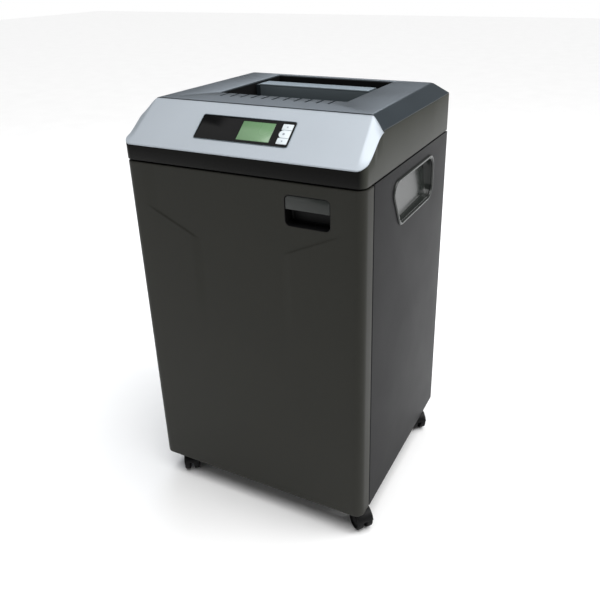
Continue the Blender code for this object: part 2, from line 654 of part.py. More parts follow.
def chassis():
    """Two upright plates with bearings, joined by tie bars, with a stripper each side of the cutters."""
    outline = [(-0.108, DECK[1] + GAP), (0.150, DECK[1] + GAP), (0.150, 0.640), (0.130, 0.662),
               (-0.045, 0.662), (-0.108, 0.645)]
    for name, side in (("left", -1), ("right", 1)):
        ends = sorted((side * PLATE[0], side * PLATE[1]))
        plate = prism(f"{name}_chassis_plate", outline, *ends, ALONG_X, "zinc_steel")
        block_ends = sorted((side * 0.1180, side * (PLATE[0] - GAP)))
        block = prism(f"{name}_bearing_block", rectangle(0.026, 0.094, 0.600, 0.632, 0.008), *block_ends,
                      ALONG_X, "black_plastic")
        for i, y in enumerate(CUTTER_Y):
            for target, radius in ((plate, 0.0095), (block, 0.0086)):
                cut(target, prism(tool_name(target.name, f"bore_{i}"), circle((y, CUTTER_Z), radius, 16),
                                  -0.2, 0.2, ALONG_X, "zinc_steel"))
        if side > 0:
            cut(plate, prism("tool_plate_motor", circle(MOTOR, 0.0060, 16), 0.1, 0.2, ALONG_X, "zinc_steel"))
    span = (-PLATE[0] + GAP, PLATE[0] - GAP)
    turned("front_tie_bar", [(span[0], 0.005), (span[1], 0.005)], axis_frame(-0.002, 0.648), "zinc_steel",
           steps=12)
    turned("rear_tie_bar", [(span[0], 0.005), (span[1], 0.005)], axis_frame(0.120, 0.648), "zinc_steel",
           steps=12)
    box("front_stripper", span, (0.008, 0.0145), (0.580, 0.625), "black_plastic")
    box("rear_stripper", span, (0.1055, 0.112), (0.580, 0.625), "black_plastic")


def electrics():
    """Circuit boards, mains inlet and the rocker switch."""
    box("control_board", (-0.090, 0.090), (-0.145, -0.095), (0.6640, 0.6656), "board_green")
    box("power_board", (-0.1800, -0.1784), (-0.060, 0.100), (0.545, 0.625), "board_green")
    inlet = box("power_inlet", (-0.162, -0.120), (REAR + GAP, REAR + 0.0025), (0.566, 0.598), "black_plastic")
    fuse(inlet, box("tool_inlet_body", (-0.155, -0.127), (0.172, REAR + 0.001), (0.572, 0.592),
                    "black_plastic"))
    cut(inlet, box("tool_inlet_socket", (-0.1525, -0.1295), (0.178, 0.21), (0.5745, 0.5895), "black_plastic"))
    frame = box("mains_switch", (-0.106, -0.074), (REAR + GAP, REAR + 0.0023), (0.567, 0.597), "black_plastic")
    fuse(frame, box("tool_switch_body", (-0.102, -0.078), (0.176, REAR + 0.001), (0.571, 0.593),
                    "black_plastic"))
    cut(frame, box("tool_switch_well", (-0.0995, -0.0805), (0.179, 0.21), (0.5735, 0.5905), "black_plastic"))
    pivot = (0.1905, 0.582)
    rocker = [(pivot[0] - 0.006, pivot[1]), (pivot[0] + 0.002, pivot[1] - 0.0065),
              (pivot[0] + 0.0075, pivot[1] - 0.0065), (pivot[0] + 0.0050, pivot[1]),
              (pivot[0] + 0.0075, pivot[1] + 0.0065), (pivot[0] + 0.002, pivot[1] + 0.0065)]
    prism("power_rocker", rocker, -0.0985, -0.0815, ALONG_X, "black_plastic", origin=(-0.090, *pivot))


# ---- casters ----
def caster(name, x, y, degrees):
    """Twin-wheel caster: a hooded fork that swivels on its stem, and the wheel pair on one axle."""
    frame = Matrix.Translation((x, y, 0)) @ Matrix.Rotation(math.radians(degrees), 4, "Z")
    side_on = frame @ ALONG_Y
    axle = (TRAIL, WHEEL_R)
    web = [*arc(axle, HOOD_R, 20, 90, 5), (-0.008, WHEEL_R + HOOD_R), (-0.008, WHEEL_R + 0.014),
           *arc(axle, 0.0075, 200, 340, 6)]
    fork = prism(f"{name}_caster_fork", web, -WEB_HALF, WEB_HALF, side_on, "black_plastic", origin=(x, y, 0))
    hood = arc(axle, HOOD_R, 12, 150, 10) + arc(axle, WHEEL_R + 0.0006, 150, 12, 10)
    fuse(fork,
         prism(tool_name(name, "hood"), hood, -TREAD_HALF, TREAD_HALF, side_on, "black_plastic"),
         turned(tool_name(name, "stem"), [(WHEEL_R + 0.0175, 0.0075), (WHEEL_R + HOOD_R, 0.0075),
                                          (WHEEL_R + HOOD_R, 0.0050), (BASE[0] - GAP, 0.0050)],
                frame, "black_plastic", steps=16))
    axle_r = 0.0030
    bore = (axle_r + GAP) / math.cos(math.pi / 16)
    cut(fork, prism(tool_name(name, "bore"), circle(axle, bore, 16), -0.02, 0.02, side_on, "black_plastic"))
    spin = side_on.copy()
    spin.translation = frame @ Vector((TRAIL, 0, WHEEL_R))
    edge = 0.0015
    inner = WEB_HALF + 0.0006
    profile = [(-TREAD_HALF, WHEEL_R - edge), (-TREAD_HALF + edge, WHEEL_R), (-inner, WHEEL_R), (-inner, axle_r),
               (inner, axle_r), (inner, WHEEL_R), (TREAD_HALF - edge, WHEEL_R), (TREAD_HALF, WHEEL_R - edge)]
    flat = 360.0 / 24 / 2
    scale = 1 / math.cos(math.radians(flat))
    turned(f"{name}_caster_wheel", [(along, radius * scale if radius > axle_r else radius)
                                    for along, radius in profile],
           spin, "rubber", steps=24, turn=flat, origin=spin.translation)


def main():
    """Build the shredder in an empty scene."""
    for item in list(bpy.data.objects):
        bpy.data.objects.remove(item)
    cabinet()
    door()
    waste_bin()
    head_casing()
    top_cover()
    front_fascia()
    control_panel()
    chassis()
    cutters()
    drive()
    electrics()
    for values in CASTERS:
        caster(*values)


main()
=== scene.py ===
"""Looks of a floor-standing paper shredder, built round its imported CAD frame.

Every length is in metres and every point is in the CAD's own frame: X to the right, Y to the rear, Z up
from the floor. Each sub-assembly is a class whose fields are its sizes and whose build() makes and dresses
its pieces.
"""

import logging
import math
from dataclasses import dataclass, field
from enum import Enum
from typing import Callable, Sequence

import bmesh
import bpy
import numpy as np
from mathutils import Matrix, Vector


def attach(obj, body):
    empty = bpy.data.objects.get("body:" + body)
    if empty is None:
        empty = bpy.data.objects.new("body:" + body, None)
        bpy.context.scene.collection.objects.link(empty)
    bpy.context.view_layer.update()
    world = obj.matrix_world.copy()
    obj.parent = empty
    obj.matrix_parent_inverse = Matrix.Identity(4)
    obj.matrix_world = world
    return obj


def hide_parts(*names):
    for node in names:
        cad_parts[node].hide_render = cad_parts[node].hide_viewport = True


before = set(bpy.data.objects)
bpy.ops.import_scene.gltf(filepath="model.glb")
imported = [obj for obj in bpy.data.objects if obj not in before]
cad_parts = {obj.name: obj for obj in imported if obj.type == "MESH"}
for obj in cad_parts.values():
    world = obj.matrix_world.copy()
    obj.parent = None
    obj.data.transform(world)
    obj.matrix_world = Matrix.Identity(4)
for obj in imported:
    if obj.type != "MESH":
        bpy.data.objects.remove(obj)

LOG = logging.getLogger("shredder")
Array = np.ndarray
Point = tuple[float, float]

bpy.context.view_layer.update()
SHARP = math.radians(32)
# Mesh attribute that marks faces turned to the front, for their painted shade.
PAINTED_FRONT_SHADE = "painted_front_shade"
MERGE = 2e-6

COAT_ROUGH = 0.12
DRIFT_CELLS = 7.0                   # slow drift of colour and gloss, cells per metre
NOISE_RANGE = (0.3, 0.7)            # the middle of a noise factor
FLAKE_RANGE = (0.28, 0.05)          # cell distance where a flake starts and is full
FLAKE_SHARE = 0.30
EDGE_RANGE = (0.53, 0.62)           # pointiness where edge lightening, part rubbing and part painted highlight, starts and is full

HALF_W = 0.210
FRONT = -0.195
REAR = 0.195
SEAM = 0.640
BAND_TOP = 0.666
EAVE = 0.707
TOP = 0.727
RIDGE_Y = -0.1203
CHAMFER = 0.024


def srgb(red: float, green: float, blue: float) -> tuple[float, float, float]:
    """Colour given as 0 to 255 display values, as the linear values that a shader takes."""
    display = np.array((red, green, blue)) / 255
    linear = np.where(display <= 0.04045, display / 12.92, ((display + 0.055) / 1.055) ** 2.4)
    return tuple(float(part) for part in linear)


# ---- finishes ----
class Texture(Enum):
    """How a finish is broken up close to."""

    MOULDED = "fine moulded grain"
    FLAKED = "metallic flake under lacquer"
    POWDER = "orange-peel powder coat"
    BRUSHED = "lines drawn along one direction"
    SMOOTH = "polished, with faint smears"


@dataclass(frozen=True)
class Finish:
    """One procedural finish: its colour, gloss, grain and wear.

    Args:
        name: the finish's name.
        color: linear base colour.
        texture: what breaks the surface up.
        rough: middle roughness.
        metallic: how metallic it is.
        grain: grain cells per metre.
        relief: the grain's height in metres.
        strength: how much of the relief shows, 0 to 1.
        mottle: how far the colour drifts, as a share.
        edge_wear_and_highlight: how much lighter convex edges are, 0 to 1; partly rubbed edges, partly
            painted highlight.
        coat: clear coat weight.
        specular: how strongly it mirrors, 0.5 for ordinary plastic.
        front: darker colour, painted shade for faces turned to the front, that takes over where the mesh's
            front shade attribute is 1, if any.
        drawn: stretch of the pattern along X, Y and Z.
    """

    name: str
    color: tuple[float, float, float]
    texture: Texture = Texture.MOULDED
    rough: float = 0.5
    metallic: float = 0.0
    grain: float = 1400.0
    relief: float = 0.00006
    strength: float = 0.35
    mottle: float = 0.12
    edge_wear_and_highlight: float = 0.0
    coat: float = 0.0
    specular: float = 0.5
    # painted shade: darker colour for faces turned to the front
    front: tuple[float, float, float] | None = None
    drawn: tuple[float, float, float] = (1.0, 1.0, 1.0)

    def material(self) -> bpy.types.Material:
        """The Blender material, made once.

        Returns:
            The node material for this finish.
        """
        made = bpy.data.materials.get("finish_" + self.name)
        if made:
            return made
        made = bpy.data.materials.new("finish_" + self.name)
        made.use_nodes = True
        made.diffuse_color = (*self.color, 1)
        tree = made.node_tree
        shader = tree.nodes["Principled BSDF"]
        shader.inputs["Metallic"].default_value = self.metallic
        shader.inputs["Coat Weight"].default_value = self.coat
        shader.inputs["Coat Roughness"].default_value = COAT_ROUGH
        shader.inputs["Specular IOR Level"].default_value = self.specular
        place = self.placed(tree)
        drift = self.noise(tree, place, DRIFT_CELLS, 3.0)
        fine = self.cells(tree, place)
        color = self.blended(tree, drift, [part * (1 - self.mottle) for part in self.color],
                             [min(1.0, part * (1 + self.mottle)) for part in self.color])
        # Painted shade: a darker colour where the mesh marks faces turned to the front.
        if self.front:
            front_shade = tree.nodes.new("ShaderNodeAttribute")
            front_shade.attribute_name = PAINTED_FRONT_SHADE
            color = self.mixed(tree, color, front_shade.outputs["Fac"], self.front)
        if self.texture is Texture.FLAKED:
            color = self.flecked(tree, color, fine)
        # Lighter convex edges: partly rubbed, partly painted highlight.
        if self.edge_wear_and_highlight:
            color = self.edges_rubbed_and_lit(tree, color)
        tree.links.new(color, shader.inputs["Base Color"])
        spread = 0.06 if self.texture is Texture.SMOOTH else 0.035
        self.ranged(tree, drift, self.rough - spread, self.rough + spread, shader.inputs["Roughness"])
        bump = tree.nodes.new("ShaderNodeBump")
        bump.inputs["Strength"].default_value = self.strength
        bump.inputs["Distance"].default_value = self.relief
        tree.links.new(fine, bump.inputs["Height"])
        tree.links.new(bump.outputs["Normal"], shader.inputs["Normal"])
        return made

    def placed(self, tree: bpy.types.NodeTree) -> bpy.types.NodeSocket:
        """Object coordinates, stretched where the finish is drawn along a direction."""
        coordinates = tree.nodes.new("ShaderNodeTexCoord")
        mapping = tree.nodes.new("ShaderNodeMapping")
        mapping.inputs["Scale"].default_value = self.drawn
        tree.links.new(coordinates.outputs["Object"], mapping.inputs["Vector"])
        return mapping.outputs["Vector"]

    def noise(self, tree: bpy.types.NodeTree, place: bpy.types.NodeSocket, scale: float,
              detail: float) -> bpy.types.NodeSocket:
        """A noise texture's factor at that scale.

        Args:
            tree: the material's node tree.
            place: the coordinates.
            scale: cells per metre.
            detail: octaves.

        Returns:
            The factor's socket.
        """
        node = tree.nodes.new("ShaderNodeTexNoise")
        node.inputs["Scale"].default_value = scale
        node.inputs["Detail"].default_value = detail
        tree.links.new(place, node.inputs["Vector"])
        return node.outputs["Fac"]

    def cells(self, tree: bpy.types.NodeTree, place: bpy.types.NodeSocket) -> bpy.types.NodeSocket:
        """The close-up pattern: rounded cells for powder coat and flake, noise for the others.

        Args:
            tree: the material's node tree.
            place: the coordinates.

        Returns:
            The pattern's socket.
        """
        if self.texture not in (Texture.POWDER, Texture.FLAKED):
            return self.noise(tree, place, self.grain, 4.0)
        node = tree.nodes.new("ShaderNodeTexVoronoi")
        node.feature = "SMOOTH_F1" if self.texture is Texture.POWDER else "F1"
        node.inputs["Scale"].default_value = self.grain
        tree.links.new(place, node.inputs["Vector"])
        return node.outputs["Distance"]

    def ranged(self, tree: bpy.types.NodeTree, value: bpy.types.NodeSocket, low: float, high: float,
               socket: bpy.types.NodeSocket) -> None:
        """Spreads a factor's middle between low and high, into a socket.

        Args:
            tree: the material's node tree.
            value: the factor.
            low: the least result.
            high: the greatest result.
            socket: where the result goes.
        """
        node = tree.nodes.new("ShaderNodeMapRange")
        node.inputs["From Min"].default_value, node.inputs["From Max"].default_value = NOISE_RANGE
        node.inputs["To Min"].default_value = max(0.03, low)
        node.inputs["To Max"].default_value = min(1.0, high)
        tree.links.new(value, node.inputs["Value"])
        tree.links.new(node.outputs["Result"], socket)

    def blended(self, tree: bpy.types.NodeTree, share: bpy.types.NodeSocket, low: Sequence[float],
                high: Sequence[float]) -> bpy.types.NodeSocket:
        """A colour that drifts between two others by a factor.

        Args:
            tree: the material's node tree.
            share: the factor.
            low: colour at its low end.
            high: colour at its high end.

        Returns:
            The colour's socket.
        """
        node = tree.nodes.new("ShaderNodeValToRGB")
        node.color_ramp.elements[0].position = NOISE_RANGE[0]
        node.color_ramp.elements[0].color = (*low, 1)
        node.color_ramp.elements[1].position = NOISE_RANGE[1]
        node.color_ramp.elements[1].color = (*high, 1)
        tree.links.new(share, node.inputs["Fac"])
        return node.outputs["Color"]

    def flecked(self, tree: bpy.types.NodeTree, color: bpy.types.NodeSocket,
                fine: bpy.types.NodeSocket) -> bpy.types.NodeSocket:
        """Lighter flakes over the colour, where the cell pattern is near a cell's middle.

        Args:
            tree: the material's node tree.
            color: the colour under the flakes.
            fine: the cell pattern.

        Returns:
            The colour's socket.
        """
        flakes = tree.nodes.new("ShaderNodeMapRange")
        flakes.inputs["From Min"].default_value, flakes.inputs["From Max"].default_value = FLAKE_RANGE
        flakes.inputs["To Max"].default_value = FLAKE_SHARE
        tree.links.new(fine, flakes.inputs["Value"])
        return self.mixed(tree, color, flakes.outputs["Result"],
                          [min(1.0, 2.2 * part + 0.01) for part in self.color])

    def edges_rubbed_and_lit(self, tree: bpy.types.NodeTree, color: bpy.types.NodeSocket) -> bpy.types.NodeSocket:
        """Lighter colour along convex edges, found from the surface's pointiness: partly rubbed edges, partly
        painted highlight.

        Args:
            tree: the material's node tree.
            color: the colour away from the edges.

        Returns:
            The colour's socket.
        """
        geometry = tree.nodes.new("ShaderNodeNewGeometry")
        edges = tree.nodes.new("ShaderNodeMapRange")
        edges.inputs["From Min"].default_value, edges.inputs["From Max"].default_value = EDGE_RANGE
        edges.inputs["To Max"].default_value = self.edge_wear_and_highlight
        tree.links.new(geometry.outputs["Pointiness"], edges.inputs["Value"])
        return self.mixed(tree, color, edges.outputs["Result"],
                          [min(1.0, 1.8 * part + 0.03) for part in self.color])

    def mixed(self, tree: bpy.types.NodeTree, color: bpy.types.NodeSocket, share: bpy.types.NodeSocket,
              other: Sequence[float]) -> bpy.types.NodeSocket:
        """The colour mixed with another by a share.

        Args:
            tree: the material's node tree.
            color: the first colour.
            share: the other colour's share.
            other: the other colour.

        Returns:
            The colour's socket.
        """
        node = tree.nodes.new("ShaderNodeMix")
        node.data_type = "RGBA"
        tree.links.new(share, node.inputs["Factor"])
        tree.links.new(color, node.inputs["A"])
        node.inputs["B"].default_value = (*other, 1)
        return node.outputs["Result"]


class Slot(Enum):
    """The record's material slots, each with its finish."""

    SIDE_PAINT = Finish("side_paint", srgb(32, 32, 33), Texture.POWDER, rough=0.42, grain=900, relief=0.00005,
                        strength=0.25, mottle=0.06, specular=0.05)
    DOOR_PAINT = Finish("door_paint", srgb(45, 45, 41), Texture.FLAKED, rough=0.46, metallic=0.15, grain=2200,
                        relief=0.00002, strength=0.2, mottle=0.05, edge_wear_and_highlight=0.2, specular=0.12)
    # Its front colour is painted shade on the skirt's front face, which gets little light.
    OLIVE_PLASTIC = Finish("olive_plastic", srgb(52, 53, 48), rough=0.42, mottle=0.05, edge_wear_and_highlight=0.2,
                           specular=0.10, front=srgb(12, 12, 11))
    CHARCOAL_PLASTIC = Finish("charcoal_plastic", srgb(46, 53, 58), rough=0.30, mottle=0.06, edge_wear_and_highlight=0.2)
    SILVER_PLASTIC = Finish("silver_plastic", srgb(174, 182, 190), Texture.FLAKED, rough=0.42, metallic=0.3,
                            grain=2600, relief=0.00001, strength=0.15, mottle=0.03, coat=0.1)
    WINDOW_GLOSS = Finish("window_gloss", srgb(8, 8, 9), Texture.SMOOTH, rough=0.14, grain=40,
                          relief=0.00001, strength=0.05, mottle=0.15, coat=0.05, specular=0.12)
    LCD_GREEN = Finish("lcd_green", srgb(104, 141, 101), Texture.SMOOTH, rough=0.25, grain=60, relief=0.00001,
                       strength=0.05, mottle=0.08, coat=0.3)
    WHITE_PLASTIC = Finish("white_plastic", srgb(216, 224, 228), rough=0.38, mottle=0.02, edge_wear_and_highlight=0.1)
    GRIP_PLASTIC = Finish("grip_plastic", srgb(42, 45, 43), rough=0.20, mottle=0.06, strength=0.12, edge_wear_and_highlight=0.5,
                          coat=0.12, specular=0.25)
    BLACK_PLASTIC = Finish("black_plastic", srgb(14, 14, 15), rough=0.45, mottle=0.12, edge_wear_and_highlight=0.15,
                           specular=0.16)
    BRUSHED_GUIDE = Finish("brushed_guide", srgb(116, 127, 133), Texture.BRUSHED, rough=0.36, metallic=0.45,
                           grain=300, relief=0.00002, strength=0.3, mottle=0.05, drawn=(0.05, 6.0, 6.0))
    ZINC_STEEL = Finish("zinc_steel", srgb(168, 170, 172), Texture.SMOOTH, rough=0.38, metallic=0.9,
                        grain=160, relief=0.00003, strength=0.25, mottle=0.12)
    CUTTER_STEEL = Finish("cutter_steel", srgb(120, 120, 122), Texture.BRUSHED, rough=0.32, metallic=1.0,
                          grain=260, relief=0.00003, strength=0.3, mottle=0.15, drawn=(5.0, 0.4, 0.4))
    BOARD_GREEN = Finish("board_green", srgb(24, 84, 50), rough=0.42, mottle=0.20, grain=500, coat=0.2)
    CASTER_RUBBER = Finish("caster_rubber", srgb(13, 13, 14), rough=0.62, mottle=0.2, grain=700, strength=0.5,
                           edge_wear_and_highlight=0.25, specular=0.16)

    @property
    def slot(self) -> str:
        """The slot's name in the record."""
        return self.value.name


PRINT = Finish("key_print", srgb(150, 158, 166), rough=0.6, mottle=0.1)
FLOOR = Finish("studio_floor", srgb(250, 250, 250), rough=0.7, mottle=0.01, strength=0.05)


# ---- outlines ----
def arc(center: Point, radius: float, start: float, end: float, steps: int) -> Array:
    """Circle arc: centre plus radius times (cos, sin) of an angle that goes evenly from start to end.

    Args:
        center: the circle's centre.
        radius: its radius.
        start: first angle in degrees.
        end: last angle in degrees.
        steps: number of chords.

    Returns:
        The points, steps + 1 by 2.
    """
    angle = np.radians(np.linspace(start, end, steps + 1))
    return np.column_stack((center[0] + radius * np.cos(angle), center[1] + radius * np.sin(angle)))


def rounded(corners: Sequence[Point], radii: float | Sequence[float], steps: int = 8) -> Array:
    """Closed outline with round corners.

    Each corner is the circle arc through its two tangent points, as a rational parabola whose middle weight
    is the sine of half the corner's angle.

    Args:
        corners: the polygon's corners, in order.
        radii: one radius, or one for each corner.
        steps: chords in each corner.

    Returns:
        The outline's points, one row each.
    """
    corner = np.asarray(corners, float)
    radius = np.broadcast_to(np.maximum(np.asarray(radii, float), 1e-5), len(corner))[:, None]
    back = np.roll(corner, 1, 0) - corner
    ahead = np.roll(corner, -1, 0) - corner
    back /= np.linalg.norm(back, axis=1, keepdims=True)
    ahead /= np.linalg.norm(ahead, axis=1, keepdims=True)
    half = 0.5 * np.arccos(np.clip((back * ahead).sum(1), -1, 1))[:, None]
    reach = radius / np.tan(half)
    share = np.linspace(0, 1, steps + 1)[None, :, None]
    weight = np.sin(half)[:, :, None]
    blend = ((1 - share) ** 2, 2 * share * (1 - share) * weight, share**2)
    points = blend[0] * (corner + back * reach)[:, None] + blend[1] * corner[:, None]
    points = points + blend[2] * (corner + ahead * reach)[:, None]
    return (points / (blend[0] + blend[1] + blend[2])).reshape(-1, 2)


def box_corners(x0: float, x1: float, y0: float, y1: float) -> list[Point]:
    """A rectangle's corners, anticlockwise."""
    return [(x0, y0), (x1, y0), (x1, y1), (x0, y1)]


def inset(corners: Sequence[Point], distance: float) -> Array:
    """Moves each side of an anticlockwise polygon inwards.

    Every corner goes along the sum of its two inward normals.

    Args:
        corners: the polygon.
        distance: how far each side moves.

    Returns:
        The moved corners.
    """
    corner = np.asarray(corners, float)
    along = np.roll(corner, -1, 0) - corner
    along /= np.linalg.norm(along, axis=1, keepdims=True)
    inward = np.column_stack((-along[:, 1], along[:, 0]))
    before = np.roll(inward, 1, 0)
    return corner + distance * (inward + before) / (1 + (inward * before).sum(1))[:, None]


def stepped(corners: Sequence[Point], radii: float | Sequence[float], profile: Sequence[Point],
            steps: int = 8) -> Array:
    """Carries a profile round an outline: each profile point gives one ring, moved in and raised.

    Args:
        corners: the outline's corners, anticlockwise.
        radii: corner radii at no inset.
        profile: (inset, height) of each ring.
        steps: chords in each corner.

    Returns:
        Rings of points (a, b, height), rings by points by 3.
    """
    radii = np.asarray(radii, float)
    rings = [np.column_stack((ring := rounded(inset(corners, step), np.maximum(radii - step, 0.0003), steps),
                              np.full(len(ring), height))) for step, height in profile]
    return np.stack(rings)


def smooth(value: Array, low: float, high: float) -> Array:
    """0 below low, 1 above high, and a smooth cubic step between them."""
    share = np.clip((value - low) / (high - low), 0, 1)
    return share * share * (3 - 2 * share)


# ---- meshes ----
class Shape:
    """Points and faces of one piece, gathered from any number of grids."""

    def __init__(self) -> None:
        """Starts with nothing."""
        self.points: list[Array] = []
        self.faces: list[list[int]] = []
        self.count = 0

    def grid(self, grid: Array, around: bool = False, over: bool = False,
             caps: tuple[bool, bool] = (False, False)) -> "Shape":
        """Adds a grid of points as quads (i, j), (i, j+1), (i+1, j+1), (i+1, j).

        Args:
            grid: rows by columns by 3.
            around: the last column joins the first.
            over: the last row joins the first.
            caps: whether the first and last rows are closed with a face.

        Returns:
            This shape.
        """
        rows, columns = grid.shape[:2]
        row, column = np.meshgrid(np.arange(rows if over else rows - 1),
                                  np.arange(columns if around else columns - 1), indexing="ij")
        below, right = (row + 1) % rows, (column + 1) % columns
        quads = np.stack((row * columns + column, row * columns + right, below * columns + right,
                          below * columns + column), -1).reshape(-1, 4) + self.count
        self.faces += quads.tolist()
        if caps[0]:
            self.faces.append(list(range(self.count + columns - 1, self.count - 1, -1)))
        if caps[1]:
            first = self.count + (rows - 1) * columns
            self.faces.append(list(range(first, first + columns)))
        self.points.append(grid.reshape(-1, 3))
        self.count += rows * columns
        return self

    def build(self, name: str, closed: bool = True) -> bpy.types.Object:
        """Makes the mesh object, with doubles merged and, on a closed shape, its faces turned outwards.

        Args:
            name: the piece's name.
            closed: whether the shape has an inside.

        Returns:
            The new object, at the origin.
        """
        mesh = bpy.data.meshes.new(name)
        mesh.from_pydata(np.vstack(self.points).tolist(), [], self.faces)
        work = bmesh.new()
        work.from_mesh(mesh)
        bmesh.ops.remove_doubles(work, verts=work.verts, dist=MERGE)
        bmesh.ops.dissolve_degenerate(work, edges=work.edges, dist=1e-6)
        if closed:
            bmesh.ops.recalc_face_normals(work, faces=work.faces)
        work.to_mesh(mesh)
        work.free()
        piece = bpy.data.objects.new(name, mesh)
        bpy.context.scene.collection.objects.link(piece)
        return piece


def placed(grid: Array, origin: Sequence[float], a: Sequence[float], b: Sequence[float],
           h: Sequence[float]) -> Array:
    """Puts local points (a, b, h) in place: origin plus a, b and h times their three directions."""
    return np.asarray(origin, float) + grid @ np.array((a, b, h), float)


def carved(piece: bpy.types.Object, *cutters: bpy.types.Object) -> bpy.types.Object:
    """Takes the cutters out of the piece, and removes them.

    Args:
        piece: a closed piece.
        cutters: closed shapes to take away.

    Returns:
        The piece, with its modifiers applied.
    """
    for cutter in cutters:
        modifier = piece.modifiers.new("carve", "BOOLEAN")
        modifier.object = cutter
        modifier.solver = "EXACT"
    applied(piece)
    for cutter in cutters:
        bpy.data.objects.remove(cutter)
    return piece


def applied(piece: bpy.types.Object) -> None:
    """Replaces the piece's mesh by the one its modifiers make.

    Args:
        piece: the piece, whose mesh is replaced.
    """
    evaluated = piece.evaluated_get(bpy.context.evaluated_depsgraph_get())
    mesh = bpy.data.meshes.new_from_object(evaluated)
    piece.modifiers.clear()
    piece.data = mesh


def thickened(piece: bpy.types.Object, thickness: float) -> bpy.types.Object:
    """Gives an open sheet a wall behind its face.

    Args:
        piece: an open sheet.
        thickness: the wall's thickness.

    Returns:
        The piece, with its modifier applied.
    """
    modifier = piece.modifiers.new("wall", "SOLIDIFY")
    modifier.thickness = thickness
    modifier.offset = -1
    applied(piece)
    return piece


def dressed(piece: bpy.types.Object, finish: Slot | Finish, body: str, *nodes: str,
            sharp: float = SHARP) -> bpy.types.Object:
    """Gives a piece its finish's material, its shading and its body, and hides the CAD nodes it replaces.

    Args:
        piece: the finished mesh.
        finish: a slot of the record, or a finish that has none.
        body: the CAD body it rides on.
        nodes: CAD nodes it replaces.
        sharp: edges steeper than this stay sharp.

    Returns:
        The piece.
    """
    mesh = piece.data
    mesh.materials.clear()
    mesh.materials.append((finish.value if isinstance(finish, Slot) else finish).material())
    mesh.polygons.foreach_set("material_index", np.zeros(len(mesh.polygons), np.int32))
    mesh.shade_smooth()
    mesh.set_sharp_from_angle(angle=sharp)
    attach(piece, body)
    if nodes:
        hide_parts(*nodes)
    LOG.info("%s: %d faces on %s", piece.name, len(mesh.polygons), body)
    return piece


def prism(name: str, outline: Array, low: float, high: float,
          place: Callable[[Array], Array]) -> bpy.types.Object:
    """A straight prism: the outline at two heights, capped."""
    rings = np.stack([np.column_stack((outline, np.full(len(outline), height))) for height in (low, high)])
    return Shape().grid(place(rings), around=True, caps=(True, True)).build(name)


def lathe(profile: Sequence[Point], steps: int = 48) -> Array:
    """Turns a profile of (along, radius) about its axis, to (radius cos a, radius sin a, along).

    Args:
        profile: (along, radius) of each ring.
        steps: facets round the axis.

    Returns:
        Rings by steps by 3, in a frame whose third direction is the axis.
    """
    along, radius = np.asarray(profile, float).T
    angle = np.linspace(0, 2 * np.pi, steps, endpoint=False)
    return np.stack((radius[:, None] * np.cos(angle), radius[:, None] * np.sin(angle),
                     np.repeat(along[:, None], steps, 1)), -1)


def upright(grid: Array) -> Array:
    """Outline in plan, height along Z."""
    return grid


def facing_front(grid: Array) -> Array:
    """Outline in (x, z), height along Y."""
    return placed(grid, (0, 0, 0), (1, 0, 0), (0, 0, 1), (0, 1, 0))


def along_x(grid: Array) -> Array:
    """Outline in (y, z), height along X."""
    return placed(grid, (0, 0, 0), (0, 1, 0), (0, 0, 1), (1, 0, 0))


SLOPE_UP = (Vector((0, RIDGE_Y, TOP)) - Vector((0, FRONT, BAND_TOP))).normalized()


def on_slope(grid: Array) -> Array:
    """Outline in the fascia's plane, (x, up the slope), height out of it."""
    return placed(grid, (0, FRONT, BAND_TOP), (1, 0, 0), SLOPE_UP, (0, -SLOPE_UP.z, SLOPE_UP.y))


